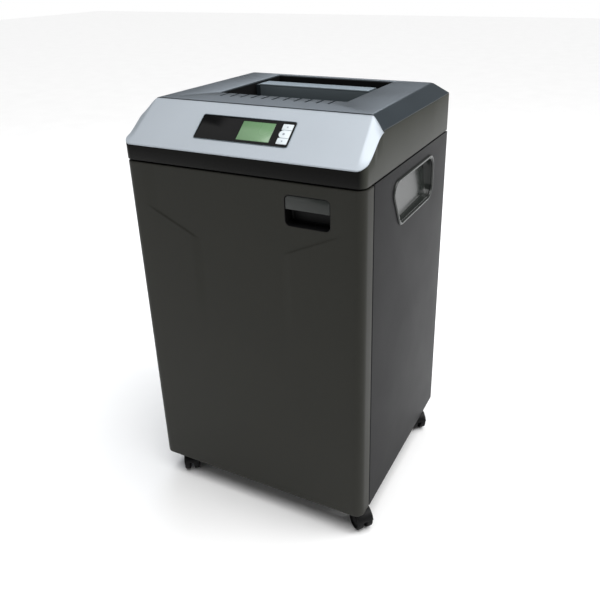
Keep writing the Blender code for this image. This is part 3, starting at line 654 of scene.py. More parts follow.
# ---- the door ----
@dataclass
class Door:
    """Wrap-round door: pressed shell, finger cup with its spring paddle, and the ribbed liner behind."""

    low: float = 0.0468
    high: float = 0.6372
    back: float = -0.161
    corner: float = 0.015
    hinge: Point = (-0.205, -0.166)
    hinge_radius: float = 0.005
    wall: float = 0.003
    edge: float = 0.0016
    recess: tuple[float, float, float, float] = (0.0830, 0.1575, 0.5694, 0.6180)
    recess_radius: float = 0.008
    relief: float = 0.0015
    column: tuple[float, float] = (0.073, 0.094)      # start and end of the channel's slanting sides
    crease_rise: float = 0.46                         # slope of the two shoulder creases
    crease_foot: float = 0.531

    def outline(self, step: float) -> Array:
        """The door in plan, moved in by step: rounded hinge edge, two corners and a finely divided front.

        Args:
            step: how far the outline is moved in.

        Returns:
            The outline's points, one row each.
        """
        side = HALF_W - self.corner
        fine = np.arange(0.066, 0.178, 0.0014)
        x = np.concatenate((-fine[::-1], np.linspace(-0.062, 0.062, 13), fine))
        front = np.column_stack((x, np.full(len(x), FRONT + step)))
        return np.vstack((arc((-side, FRONT + self.corner), self.corner - step, 180, 270, 8), front,
                          arc((side, FRONT + self.corner), self.corner - step, 270, 360, 8),
                          ((HALF_W - step, self.back),),
                          arc(self.hinge, self.hinge_radius - step, 90, 180, 5)))

    def sunk(self, x: Array, z: Array) -> Array:
        """How far the pressed front lies back.

        The field above the creases and the channel between the two cheeks is sunk. A cheek is the product of
        a wide step across and a crisp step under its crease.

        Args:
            x: places across the door.
            z: heights on the door.

        Returns:
            The sinking at each place.
        """
        across = smooth(np.abs(x), *self.column)
        crease = self.crease_foot + (np.abs(x) - self.column[1]) * self.crease_rise
        cheek = across * smooth(crease - z, 0.0, 0.0030)
        fade = 1 - smooth(np.abs(x), 0.150, 0.182)
        return self.relief * (1 - cheek) * fade * smooth(z, 0.300, 0.500)

    def shell(self) -> None:
        """Pressed outer shell: the plan outline carried up, its ends rounded in, hollowed from behind."""
        turn = np.linspace(0, np.pi / 2, 4)
        ends = self.edge * (1 - np.sin(turn)), self.edge * (1 - np.cos(turn))
        body = np.concatenate((np.linspace(self.low + 0.004, 0.515, 70), np.arange(0.516, 0.5745, 0.0011),
                               np.linspace(0.576, self.high - 0.004, 12)))
        rows = [(step, self.low + rise) for step, rise in zip(*ends)]
        rows += [(0.0, z) for z in body]
        rows += [(step, self.high - rise) for step, rise in zip(ends[0][::-1], ends[1][::-1])]
        rings = np.stack([np.column_stack((plan := self.outline(step), np.full(len(plan), z)))
                          for step, z in rows])
        front = rings[..., 1] < FRONT + 0.004
        rings[..., 1] += np.where(front, self.sunk(rings[..., 0], rings[..., 2]), 0)
        door = Shape().grid(rings, around=True, caps=(True, True)).build("door_shell")
        inside = box_corners(self.hinge[0] + self.wall, HALF_W - self.wall, FRONT + self.wall + self.relief,
                             self.back + 0.01)
        hollow = prism("door_hollow", rounded(inside, (0.012, 0.012, 0.0003, 0.0003)), self.low + self.wall,
                       self.high - self.wall, upright)
        x0, x1, z0, z1 = self.recess
        hole = prism("door_hole", rounded(box_corners(x0, x1, z0, z1), self.recess_radius), -0.21, -0.175,
                     facing_front)
        dressed(carved(door, hollow, hole), Slot.DOOR_PAINT, "door", "door_panel", sharp=math.radians(40))

    def cup(self) -> None:
        """Finger cup: a profile carried round the recess, from the rolled lip back to the floor."""
        x0, x1, z0, z1 = self.recess
        face = FRONT + self.relief
        profile = [(-0.0030, -0.1695), (-0.0030, -0.1905), (-0.0002, -0.1907), (-0.0002, face - 0.0001),
                   (0.0, face - 0.0004), (0.0004, face - 0.0003), (0.0006, face + 0.0003),
                   (0.0007, face + 0.003), (0.0018, -0.1740), (0.0036, -0.1722)]
        rings = facing_front(stepped(box_corners(x0, x1, z0, z1), self.recess_radius, profile))
        cup = Shape().grid(rings, around=True, caps=(True, True)).build("finger_cup")
        dressed(cup, Slot.BLACK_PLASTIC, "door", "latch_cup")

    def paddle(self) -> None:
        """Spring paddle across the top of the cup: a soft-edged plate with a turned-back lower lip."""
        x0, x1, z0, z1 = self.recess
        corners = box_corners(x0 + 0.0011, x1 - 0.0011, 0.5955, z1 - 0.0011)
        profile = [(0.0014, -0.1880), (0.0, -0.1884), (0.0, -0.1924), (0.0003, -0.1930), (0.0010, -0.1934)]
        plate = facing_front(stepped(corners, (0.0008, 0.0008, 0.0069, 0.0069), profile))
        lip = rounded([(-0.1915, 0.5955), (-0.1860, 0.5957), (-0.1860, 0.5972), (-0.1915, 0.5990)], 0.0005, 3)
        ends = np.stack([np.column_stack((lip, np.full(len(lip), x))) for x in (x0 + 0.002, x1 - 0.002)])
        paddle = Shape().grid(plate, around=True, caps=(True, True))
        paddle.grid(along_x(ends), around=True, caps=(True, True))
        dressed(paddle.build("finger_paddle"), Slot.GRIP_PLASTIC, "latch", "latch_paddle")

    def liner(self) -> None:
        """Ribbed liner: a plan outline whose rear line dips in shallow flutes, carried up the door."""
        x = np.linspace(-0.2000, 0.2052, 180)
        flute = 0.0011 * smooth(np.cos(2 * np.pi * x / 0.030), 0.1, 0.7) * smooth(0.185 - np.abs(x), 0, 0.004)
        rear = np.column_stack((x[::-1], (-0.1614 - flute)[::-1]))
        plan = np.vstack(((-0.2010, -0.1638), (0.2062, -0.1638), (0.2062, -0.1616), rear, (-0.2010, -0.1616)))
        rings = np.stack([np.column_stack((plan, np.full(len(plan), z)))
                          for z in (self.low + 0.0035, 0.08, 0.6, self.high - 0.0035)])
        liner = Shape().grid(rings, around=True, caps=(True, True)).build("door_ribbed_liner")
        dressed(liner, Slot.BLACK_PLASTIC, "door", "door_liner")

    def build(self) -> None:
        """Makes every piece of the door."""
        self.shell()
        self.cup()
        self.paddle()
        self.liner()


# ---- cabinet sides ----
@dataclass
class Sides:
    """The two folded side sheets and the moulded grips let into them."""

    front: float = -0.1584
    lip: float = 0.192
    sheet: float = 0.0015
    low: float = 0.0463
    high: float = 0.6374
    fold: float = 0.0022
    grip: tuple[Point, ...] = ((-0.050, 0.537), (0.116, 0.537), (0.116, 0.6185), (-0.090, 0.618))
    grip_radii: tuple[float, ...] = (0.016, 0.026, 0.026, 0.018)
    rim_width: float = 0.0070
    bow: float = 0.0045
    depth: tuple[float, float, float] = (0.0062, 0.0035, 0.0078)  # front, added at rear, at rear top

    def bowed(self, grid: Array) -> Array:
        """Bows the grip's slanting front edge: y less a parabola in height, fading away from that edge.

        Args:
            grid: points whose first two parts are y and z.

        Returns:
            The bowed points.
        """
        low, high = self.grip[0][1], self.grip[2][1]
        share = np.clip((grid[..., 1] - low) / (high - low), 0, 1)
        bent = grid.copy()
        bent[..., 0] -= 4 * self.bow * share * (1 - share) * (1 - smooth(grid[..., 0], -0.066, 0.020))
        return bent

    def panel(self, name: str, side: int) -> None:
        """Folded sheet: its bent plan outline carried up, with the grip's opening cut through.

        Args:
            name: left or right.
            side: -1 or 1.
        """
        corners = [(self.lip, self.front), (HALF_W, self.front), (HALF_W, REAR), (HALF_W - self.sheet, REAR),
                   (HALF_W - self.sheet, self.front + self.sheet), (self.lip, self.front + self.sheet)]
        plan = rounded(corners, (0.0003, self.fold, 0.0006, 0.0004, 0.0007, 0.0003), 6) * (side, 1)
        rings = np.stack([np.column_stack((plan, np.full(len(plan), z))) for z in (self.low, self.high)])
        sheet = Shape().grid(rings, around=True, caps=(True, True)).build(f"{name}_side_sheet")
        hole = self.bowed(rounded(inset(self.grip, 0.0066), np.array(self.grip_radii) - 0.004))
        cutter = prism("grip_hole", hole, *sorted((side * 0.2, side * 0.22)), along_x)
        dressed(carved(sheet, cutter), Slot.SIDE_PAINT, "cabinet", f"{name}_side_panel")

    def moulding(self, name: str, side: int) -> None:
        """Grip: a rolled rim carried round its outline, then a wall and a floor that deepens to the rear.

        The floor rings shrink towards the outline's middle, and their depth grows evenly with y.

        Args:
            name: left or right.
            side: -1 or 1.
        """
        profile = [(self.rim_width, -0.0205), (self.rim_width, 0.0003), (0.0, 0.0003), (0.0, 0.0010),
                   (0.0004, 0.0018), (0.0012, 0.0024), (0.0023, 0.0027), (0.0036, 0.0025), (0.0050, 0.0017),
                   (0.0062, 0.0004), (0.0071, -0.0016), (0.0076, -0.0040)]
        rim = stepped(self.grip, self.grip_radii, profile, 10)
        edge = stepped(self.grip, self.grip_radii, [(0.0086, 0.0), (0.0100, 0.0), (0.0120, 0.0)], 10)
        middle = edge[-1].mean(0)
        shrink = np.array((0.85, 0.6, 0.35, 0.12))[:, None, None]
        floor = np.concatenate((edge[1:], middle + (edge[-1] - middle) * shrink))
        run = np.clip((floor[..., 0] + 0.080) / 0.190, 0, 1)
        rise = np.clip((floor[..., 1] - 0.537) / 0.080, 0, 1)
        floor[..., 2] = -(self.depth[0] + self.depth[1] * run + self.depth[2] * run * rise)
        floor[0, :, 2] += 0.0006
        wall = edge[:1].copy()
        wall[..., 2] = floor[0, :, 2] + 0.0014
        rings = along_x(self.bowed(np.concatenate((rim, wall, floor)))) + (HALF_W, 0, 0)
        shape = Shape().grid(rings * (side, 1, 1), around=True, caps=(True, True))
        grip = shape.build(f"{name}_grip_moulding")
        dressed(grip, Slot.GRIP_PLASTIC, "cabinet", f"{name}_grip_cup", sharp=math.radians(50))

    def build(self) -> None:
        """Makes both sides."""
        for name, side in (("left", -1), ("right", 1)):
            self.panel(name, side)
            self.moulding(name, side)


# ---- head ----
@dataclass
class Head:
    """Moulded head: dark skirt, sloping silver fascia, chamfered lid and the feed throat."""

    corner: float = 0.014
    rear_corner: float = 0.004
    lip: float = 0.0013
    skirt_gap: float = 0.0003
    fold_low: float = 0.196
    narrow: float = 0.82                              # the chamfer's front width over its rear width
    slant: float = 0.0067                             # how far the ridge comes forward down a chamfer
    softness: float = 0.35
    roll_reach: float = 0.0045
    roll_bend: float = 68.0
    skin: float = 0.0018
    opening: tuple[float, float, float, float] = (-0.0841, 0.0811, 0.0244, 0.0705)
    opening_radius: float = 0.0040
    feed_half: float = 0.1173
    guide_half: float = 0.107
    throat: tuple[float, float, float, float] = (-0.1175, 0.1175, -0.048, 0.155)
    slot_z: float = 0.678
    ramp: tuple[Point, ...] = ((-0.0478, 0.7178), (0.0560, 0.6880))
    shelf: float = 0.7225
    well: float = 0.7060
    groove_pitch: float = 0.0196
    drop_knots: tuple[Point, ...] = ((-0.195, 0.0), (-0.189, 0.0003), (-0.181, 0.0032), (-0.172, 0.0066),
                                     (-0.158, 0.0078), (-0.143, 0.0085), (-0.127, 0.0150), (-0.120, 0.0200))

    def front_line(self, x: Array) -> Array:
        """The head's front in plan: straight, then a quarter circle into each side."""
        beyond = np.clip(np.abs(x) - (HALF_W - self.corner), 0, self.corner)
        return FRONT + self.corner - np.sqrt(self.corner**2 - beyond**2)

    def ridge_line(self, x: Array) -> Array:
        """Where the fascia meets the lid: straight, then slanting forwards down each chamfer."""
        return RIDGE_Y - self.slant * np.clip((np.abs(x) - HALF_W) / (self.narrow * CHAMFER) + 1, 0, 1)

    def height(self, x: Array, y: Array) -> Array:
        """The fascia's height: the sloping plane, less a fold at each end and a soft roll at the ridge.

        The fold falls by the drop at that y times a hyperbola in x, level at first and nearly straight
        at its end.

        Args:
            x: places across.
            y: places in depth.

        Returns:
            The height at each place.
        """
        rise = (TOP - BAND_TOP) / (RIDGE_Y - FRONT)
        plane = BAND_TOP + (y - FRONT) * rise
        sample = np.linspace(FRONT, RIDGE_Y, 160)
        knot_y, knot_drop = np.array(self.drop_knots).T
        wide = np.pad(np.interp(sample, knot_y, knot_drop), 12, "edge")
        drop = np.convolve(wide, np.ones(25) / 25, "valid")
        drop = np.interp(y, sample, drop)
        fold_high = HALF_W - self.narrow * CHAMFER
        start = self.fold_low + (fold_high - self.fold_low) * (y - FRONT) / (RIDGE_Y - FRONT)
        share = np.clip((np.abs(x) - start) / (HALF_W - start), 0, 1)
        soft = self.softness
        fold = (np.sqrt(share**2 + soft**2) - soft) / (math.sqrt(1 + soft**2) - soft)
        roll = np.clip(y - self.ridge_line(x) + self.roll_reach, 0, None)
        return plane - drop * fold - self.roll_bend * roll**2

    def fascia(self) -> None:
        """Silver fascia: the height field over its plan, a lip turned down all round, the window cut out."""
        ends = HALF_W - np.concatenate((np.geomspace(0.00005, 0.004, 7), np.linspace(0.0055, 0.034, 20)))
        x = np.concatenate((-ends, np.linspace(-0.170, 0.170, 18), ends[::-1]))
        x = np.concatenate(((-HALF_W,), x, (HALF_W,)))
        share = np.concatenate(((0.0, 0.006, 0.02), np.linspace(0.05, 0.90, 26), np.linspace(0.925, 1.0, 9)))
        front, ridge = self.front_line(x), self.ridge_line(x)
        y = front + share[:, None] * (ridge - front)
        wide = np.broadcast_to(x, y.shape)
        sheet = np.stack((wide, y, self.height(wide, y)), -1)
        sheet[0, :, 2] -= 0.0004
        foot, tail = sheet[:1].copy(), sheet[-1:].copy()
        foot[..., 2] -= self.lip - 0.0004
        tail[..., 2] -= self.lip
        sheet = np.concatenate((foot, sheet, tail))
        left, right = sheet[:, :1].copy(), sheet[:, -1:].copy()
        left[1:-1, :, 2] -= self.lip
        right[1:-1, :, 2] -= self.lip
        fascia = Shape().grid(np.concatenate((left, sheet, right), 1)).build("silver_fascia", closed=False)
        thickened(fascia, self.skin)
        opening = rounded(box_corners(*self.opening), self.opening_radius)
        window = prism("fascia_window", opening, -0.02, 0.01, on_slope)
        dressed(carved(fascia, window), Slot.SILVER_PLASTIC, "cabinet", "front_fascia",
                sharp=math.radians(48))

    def skirt(self) -> None:
        """Skirt: a wall profile carried round the head; its top follows the fascia's edge, then the eave."""
        side = HALF_W - self.corner
        run = np.concatenate((np.linspace(FRONT + self.corner, -0.118, 40)[1:], (-0.10, 0.0, 0.10)))
        rear = REAR - self.rear_corner
        right = np.column_stack((np.full(len(run), HALF_W), run))
        tail = HALF_W - self.rear_corner
        plan = np.vstack((arc((side, FRONT + self.corner), self.corner, 270, 360, 10), right,
                          arc((tail, rear), self.rear_corner, 0, 90, 4)))
        plan = np.vstack((plan, (plan * (-1, 1))[::-1]))
        before, after = np.roll(plan, 1, 0), np.roll(plan, -1, 0)
        along = (after - before) / np.linalg.norm(after - before, axis=1, keepdims=True)
        inward = np.column_stack((-along[:, 1], along[:, 0]))
        under = self.height(plan[:, 0], np.minimum(plan[:, 1], RIDGE_Y)) - self.lip - self.skirt_gap
        top = np.where(plan[:, 1] < self.ridge_line(plan[:, 0]), under, EAVE - 0.0005)
        top = np.minimum(top, EAVE - 0.0005)
        profile = ((0.0010, 0.0, 0.0), (0.0003, 0.0, 0.0003), (0.0, 0.0, 0.0010), (0.0, 0.5, 0.0),
                   (0.0, 1.0, -0.0008), (0.0003, 1.0, -0.0002), (0.0009, 1.0, 0.0), (0.0028, 1.0, 0.0),
                   (0.0030, 1.0, -0.0004), (0.0030, 0.5, 0.0), (0.0030, 0.0, 0.0004), (0.0027, 0.0, 0.0))
        rings = np.stack([np.column_stack((plan + inward * step, SEAM + (top - SEAM) * share + rise))
                          for step, share, rise in profile])
        skirt = Shape().grid(rings, around=True, over=True).build("head_skirt")
        # Painted shade: 1 on the skirt's front face, falling to 0 round the front corners, where the darker
        # front colour takes over.
        front_shade = skirt.data.attributes.new(PAINTED_FRONT_SHADE, "FLOAT", "POINT")
        points = np.zeros(len(skirt.data.vertices) * 3, np.float32)
        skirt.data.vertices.foreach_get("co", points)
        points = points.reshape(-1, 3)
        front = (1 - smooth(np.abs(points[:, 0]), 0.200, 0.2098)) * (points[:, 1] < -0.15)
        front_shade.data.foreach_set("value", front.astype(np.float32))
        dressed(skirt, Slot.OLIVE_PLASTIC, "cabinet", "head_casing")

    def locating_lip(self) -> None:
        """Thin strip inside the seam at both sides and the rear, which keeps light out of the gap."""
        outer, inner = HALF_W - 0.0026, HALF_W - 0.0034
        strip = [(-outer, -0.150), (-inner, -0.150), (-inner, REAR - 0.0048), (inner, REAR - 0.0048),
                 (inner, -0.150), (outer, -0.150), (outer, REAR - 0.0040), (-outer, REAR - 0.0040)]
        lip = prism("locating_lip", strip, SEAM - 0.007, SEAM + 0.007, upright)
        dressed(lip, Slot.BLACK_PLASTIC, "cabinet")

    def lid_ring(self, step: float, height: float) -> Array:
        """The lid's outline at an inset from the eave: its front edge follows the ridge line instead.

        Args:
            step: how far in from the eave.
            height: the ring's height.

        Returns:
            The ring's points, one row each.
        """
        reach = min(step, CHAMFER)
        front = RIDGE_Y + 0.0002 - self.slant * (1 - reach / CHAMFER)
        near, far = HALF_W - step + (1 - self.narrow) * reach, HALF_W - step
        corners = [(-near, front), (near, front), (far, REAR - step), (-far, REAR - step)]
        ring = rounded(corners, (0.0004, 0.0004, 0.0050, 0.0050), 6)
        return np.column_stack((ring, np.full(len(ring), height)))

    def lid(self) -> None:
        """Lid: rings from the eave up the chamfer, over a rolled edge, across the top and down the throat."""
        angle = math.atan2(TOP - EAVE, CHAMFER)
        radius = 0.011
        reach = radius * math.tan(angle / 2)
        bend = np.linspace(angle, 0, 7)
        rolled = [(CHAMFER + reach - radius * math.sin(a), TOP - radius * (1 - math.cos(a))) for a in bend]
        outer = [(0.0, EAVE - 0.0002), (0.0, EAVE + 0.0004), (0.0006, EAVE + 0.0008), *rolled]
        rings = [self.lid_ring(*pair) for pair in outer]
        corners = box_corners(*self.throat)
        mouth = [(-0.0014, TOP), (-0.0008, TOP - 0.0002), (-0.0002, TOP - 0.0008), (0.0, TOP - 0.0016),
                 (0.0, self.slot_z), (-0.0030, self.slot_z)]
        throat = list(stepped(corners, 0.0022, mouth, 6))
        back = [(-0.0030, TOP - 0.0035)]
        under = list(stepped(corners, 0.0022, back, 6))
        inner = [self.lid_ring(CHAMFER + 0.002, TOP - 0.0035), self.lid_ring(0.0035, EAVE - 0.0002)]
        shape = Shape().grid(np.stack(rings + throat + under + inner), around=True, over=True)
        lid = shape.build("chamfered_lid")
        cutters = []
        for k in range(-5, 6):
            x = self.groove_pitch * k
            outline = rounded(box_corners(x - 0.0019, x + 0.0019, -0.0755, -0.040), 0.0015, 4)
            cutters.append(prism(f"comb_groove_{k}", outline, TOP - 0.0090, TOP + 0.01, upright))
        dressed(carved(lid, *cutters), Slot.CHARCOAL_PLASTIC, "cabinet", "top_cover", sharp=math.radians(28))

    def extruded(self, name: str, corners: Sequence[Point], radii: float | Sequence[float], half: float,
                 finish: Slot, *nodes: str) -> None:
        """A rounded (y, z) outline carried across the head, with its two ends eased.

        Args:
            name: the piece's name.
            corners: the outline's corners in (y, z).
            radii: corner radii.
            half: half the length across.
            finish: its slot.
            nodes: CAD nodes it replaces.
        """
        ends = [(0.0004, -half), (0.0, -half + 0.0004), (0.0, half - 0.0004), (0.0004, half)]
        outline = rounded(corners, radii, 5)
        middle = outline.mean(0)
        rings = np.stack([np.column_stack((middle + (outline - middle) * (1 - step), [x] * len(outline)))
                          for step, x in ends])
        piece = Shape().grid(along_x(rings), around=True, caps=(True, True)).build(name)
        dressed(piece, finish, "cabinet", *nodes)

    def feed(self) -> None:
        """Feed throat: the ramp, the shelf and well behind the slot, a black liner on the throat's walls as
        painted shade, and the bent metal paper guide.
        """
        (ramp_y, ramp_z), (slot_y, low_z) = self.ramp
        # The ramp's black plastic also stands as painted shade in the throat.
        ramp = [(ramp_y, ramp_z), (ramp_y, ramp_z - 0.003), (slot_y - 0.003, low_z - 0.003),
                (slot_y - 0.003, self.slot_z), (slot_y, self.slot_z), (slot_y, low_z)]
        self.extruded("feed_ramp", ramp, (0.0008, 0.0004, 0.001, 0.0004, 0.0004, 0.0015), self.feed_half,
                      Slot.BLACK_PLASTIC)
        wall, back, end = 0.0676, 0.1005, 0.1548
        shelf = [(wall, self.slot_z), (wall + 0.003, self.slot_z), (wall + 0.003, self.shelf - 0.003),
                 (back - 0.003, self.shelf - 0.003), (back - 0.003, self.well - 0.003),
                 (end, self.well - 0.003), (end, self.well), (back, self.well), (back, self.shelf),
                 (wall, self.shelf)]
        self.extruded("rear_shelf", shelf, 0.0005, self.feed_half, Slot.CHARCOAL_PLASTIC)
        # Black liner over the throat's side and rear walls: painted shade where the throat lies in shadow.
        wide, thin, open_y = self.feed_half, 0.1165, -0.044
        liner = [(-wide, open_y), (-thin, open_y), (-thin, 0.1540), (thin, 0.1540), (thin, open_y),
                 (wide, open_y), (wide, end), (-wide, end)]
        plan = rounded(liner, (0.0003, 0.0003, 0.0014, 0.0014, 0.0003, 0.0003, 0.0021, 0.0021))
        shade_liner = prism("throat_shade_liner", plan, self.slot_z + 0.001, TOP - 0.0022, upright)
        dressed(shade_liner, Slot.BLACK_PLASTIC, "cabinet")
        face, high = 0.0655, self.shelf + 0.0022
        guide = [(face, high - 0.0030), (face + 0.0012, high - 0.0030), (face + 0.0016, high - 0.0019),
                 (0.0980, high - 0.0019), (0.0980, high), (face, high)]
        self.extruded("paper_guide_plate", guide, (0.0003, 0.0003, 0.0005, 0.0004, 0.0005, 0.0014),
                      self.guide_half, Slot.BRUSHED_GUIDE, "paper_guide")
        apron = box_corners(face + 0.0002, face + 0.0015, 0.6920, high - 0.0021)
        self.extruded("paper_guide_apron", apron, 0.0003, 0.1068, Slot.BRUSHED_GUIDE)

    def build(self) -> None:
        """Makes every piece of the head."""
        self.skirt()
        self.locating_lip()
        self.fascia()
        self.lid()
        self.feed()


# ---- control panel ----
@dataclass
class Panel:
    """Gloss window with its screen, three keys and the bright line round it."""

    window: tuple[float, float, float, float] = (-0.0838, 0.0808, 0.0247, 0.0702)
    screen: tuple[float, float, float, float] = (-0.009, 0.048, 0.0295, 0.0650)
    keys: tuple[float, float, float, float] = (0.0600, 0.0780, 0.0287, 0.0653)
    round_key: tuple[float, float, float] = (0.0660, 0.0470, 0.0068)
    gap: float = 0.0003
    radius: float = 0.0037
    edge: Sequence[Point] = field(default=((0.0, -0.0024), (0.0, 0.0002), (0.0003, 0.0005), (0.0009, 0.0006)))

    def slab(self, name: str, outline: Array, low: float, high: float, ease: float) -> bpy.types.Object:
        """A plate in the fascia's plane: the outline, drawn towards its middle as it nears the top.

        Args:
            name: the piece's name.
            outline: its outline in the fascia's plane.
            low: the underside's height.
            high: the top's height.
            ease: how far the top's edge is eased.

        Returns:
            The new object.
        """
        middle = outline.mean(0)
        size = np.abs(outline - middle).max()
        rings = []
        for step, height in ((0, low), (0, high - ease), (0.3 * ease, high - 0.3 * ease), (ease, high)):
            ring = middle + (outline - middle) * (1 - step / size)
            rings.append(np.column_stack((ring, np.full(len(ring), height))))
        return Shape().grid(on_slope(np.stack(rings)), around=True, caps=(True, True)).build(name)

    def key_outlines(self) -> dict[str, Array]:
        """The three keys: two with small corners, and the middle one with a round left end.

        Returns:
            Each key's outline, by its name.
        """
        k0, k1, j0, j1 = self.keys
        cx, cy, radius = self.round_key
        gap = self.gap
        bullet = np.vstack((arc((cx, cy), radius, 90, 270, 14),
                            ((k1 - gap, cy - radius), (k1 - gap, cy + radius))))
        return {
            "reverse": rounded(box_corners(k0 + gap, k1 - gap, j0 + gap, cy - radius - 0.0006), 0.0008),
            "auto": bullet,
            "forward": rounded(box_corners(k0 + gap, k1 - gap, cy + radius + 0.0006, j1 - gap), 0.0008),
        }

    def build(self) -> None:
        """Makes the window, its screen and bright surround, and the keys with their plain marks."""
        corners = box_corners(*self.window)
        rings = on_slope(stepped(corners, self.radius, self.edge))
        glass = Shape().grid(rings, around=True, caps=(True, True)).build("window_glass")
        cx, cy, radius = self.round_key
        cuts = [prism("screen_hole", rounded(box_corners(*self.screen), 0.0006, 3), -0.01, 0.01, on_slope),
                prism("keys_hole", rounded(box_corners(*self.keys), 0.001, 3), -0.01, 0.01, on_slope),
                prism("round_hole", arc((cx, cy), radius + 0.0004, 0, 352.5, 47), -0.01, 0.01, on_slope)]
        dressed(carved(glass, *cuts), Slot.WINDOW_GLOSS, "cabinet", "display_window")
        s0, s1, t0, t1 = self.screen
        gap = self.gap
        face = rounded(box_corners(s0 + gap, s1 - gap, t0 + gap, t1 - gap), 0.0006, 3)
        screen = self.slab("screen_plate", face, -0.0024, 0.0002, 0.0003)
        dressed(screen, Slot.LCD_GREEN, "cabinet", "lcd_panel")
        bead = [(-0.0006 + 0.0006 * math.cos(a), 0.0002 + 0.0006 * math.sin(a))
                for a in np.linspace(0, 2 * math.pi, 9)[:-1]]
        shape = Shape().grid(on_slope(stepped(corners, self.radius, bead)), around=True, over=True)
        dressed(shape.build("window_surround"), Slot.BRUSHED_GUIDE, "cabinet")
        for name, outline in self.key_outlines().items():
            cap = self.slab(f"{name}_key_cap", outline, -0.0028, 0.0013, 0.0006)
            dressed(cap, Slot.WHITE_PLASTIC, f"{name} key", f"key_{name}")
        marks = {"reverse": arc((0.069, 0.0343), 0.0019, 150, 390, 2),
                 "forward": arc((0.069, 0.0597), 0.0019, -30, 210, 2),
                 "auto": arc((0.0672, 0.0470), 0.0020, 0, 345, 23)}
        for name, outline in marks.items():
            mark = prism(f"{name}_key_mark", outline, 0.00125, 0.00138, on_slope)
            dressed(mark, PRINT, f"{name} key")


# ---- casters ----
@dataclass
class Caster:
    """Twin-wheel caster: rolled hood on a stem, web plate between the wheels, and two hubbed tyres."""

    name: str
    body: str
    x: float
    y: float
    heading: float
    trail: float = 0.019
    radius: float = 0.020
    half: float = 0.0145
    stem_top: float = 0.0497

    def place(self, grid: Array, origin: Sequence[float] = (0, 0, 0)) -> Array:
        """Local (ahead, up, sideways) points, turned to the caster's heading.

        Args:
            grid: local points.
            origin: how far ahead and up the local origin lies.

        Returns:
            The points in place.
        """
        turn = math.radians(self.heading)
        ahead = np.array((math.cos(turn), math.sin(turn), 0))
        side = np.array((math.sin(turn), -math.cos(turn), 0))
        start = np.array((self.x, self.y, 0)) + origin[0] * ahead + np.array((0, 0, origin[1]))
        return placed(grid, start, ahead, (0, 0, 1), side)

    def hood(self) -> None:
        """Hood: a rounded channel swept round the axle, with the web plate under it and the stem on top."""
        wide = self.half - 0.0002
        channel = rounded(box_corners(-wide, wide, 0.0206, 0.0219), (0.0003, 0.0003, 0.0010, 0.0010), 4)
        turn = np.radians(np.linspace(12, 150, 26))[:, None]
        sweep = np.stack((channel[:, 1] * np.cos(turn), channel[:, 1] * np.sin(turn),
                          np.broadcast_to(channel[:, 0], (len(turn), len(channel)))), -1)
        web = np.vstack((arc((self.trail, self.radius), 0.0214, 20, 100, 8),
                         ((-0.0075, 0.0405), (-0.0080, 0.0340)),
                         arc((self.trail, self.radius), 0.0075, 200, 340, 8)))
        web_rings = np.stack([np.column_stack((web, np.full(len(web), side))) for side in (-0.003, 0.003)])
        stem = lathe([(0.0375, 0.0), (0.0375, 0.0070), (0.0410, 0.0076), (0.0425, 0.0076), (0.0432, 0.0070),
                      (0.0436, 0.0052), (self.stem_top - 0.0005, 0.0050), (self.stem_top, 0.0044),
                      (self.stem_top, 0.0)], 32) + (self.x, self.y, 0)
        shape = Shape().grid(self.place(sweep, (self.trail, self.radius)), around=True, caps=(True, True))
        shape.grid(self.place(web_rings), around=True, caps=(True, True)).grid(stem, around=True)
        dressed(shape.build(f"{self.name}_caster_hood"), Slot.BLACK_PLASTIC, f"{self.body} fork",
                f"{self.name}_caster_fork")

    def tyres(self) -> None:
        """Tyres: one rounded tread and dished hub profile turned about the axle, on each side of the web."""
        tread = [(0.0037, 0.0), (0.0037, 0.0188), (0.0042, 0.0196), (0.0052, 0.0200), (0.0120, 0.0200),
                 (0.0134, 0.0196), (0.0143, 0.0186), (0.0145, 0.0172), (0.0141, 0.0162), (0.0131, 0.0156),
                 (0.0122, 0.0150), (0.0119, 0.0140), (0.0119, 0.0082), (0.0123, 0.0074), (0.0133, 0.0068),
                 (0.0137, 0.0050), (0.0138, 0.0)]
        shape = Shape()
        for side in (-1, 1):
            ring = lathe([(side * along, radius) for along, radius in tread], 48)
            shape.grid(self.place(ring, (self.trail, self.radius)), around=True)
        dressed(shape.build(f"{self.name}_caster_tyres"), Slot.CASTER_RUBBER, f"{self.body} wheel",
                f"{self.name}_caster_wheel")

    def build(self) -> None:
        """Makes the hood and the tyres."""
        self.hood()
        self.tyres()


# ---- waste bin ----
@dataclass
class Bin:
    """Pull-out bin with a rolled rim, rounded front corners and a hand cut-out."""

    half: float = 0.168
    front: float = -0.130
    rear: float = 0.170
    low: float = 0.0565
    high: float = 0.520
    radii: tuple[float, ...] = (0.025, 0.025, 0.008, 0.008)

    def build(self) -> None:
        """Wall profile carried round the bin, out over the rolled rim and down inside to the floor."""
        profile = [(0.0060, self.low), (0.0032, self.low + 0.0008), (0.0020, self.low + 0.0030),
                   (0.0020, self.high - 0.0120), (0.0004, self.high - 0.0105), (0.0, self.high - 0.0020),
                   (0.0006, self.high - 0.0005), (0.0020, self.high), (0.0038, self.high - 0.0006),
                   (0.0042, self.high - 0.0120), (0.0042, self.low + 0.0060), (0.0055, self.low + 0.0032)]
        corners = box_corners(-self.half, self.half, self.front, self.rear)
        shape = Shape().grid(stepped(corners, self.radii, profile), around=True, caps=(True, True))
        tub = shape.build("bin_tub")
        hand = rounded(box_corners(-0.060, 0.060, self.high - 0.035, self.high + 0.02), 0.010)
        notch = prism("bin_notch", hand, self.front - 0.01, self.front + 0.02, facing_front)
        dressed(carved(tub, notch), Slot.BLACK_PLASTIC, "bin", "waste_bin")


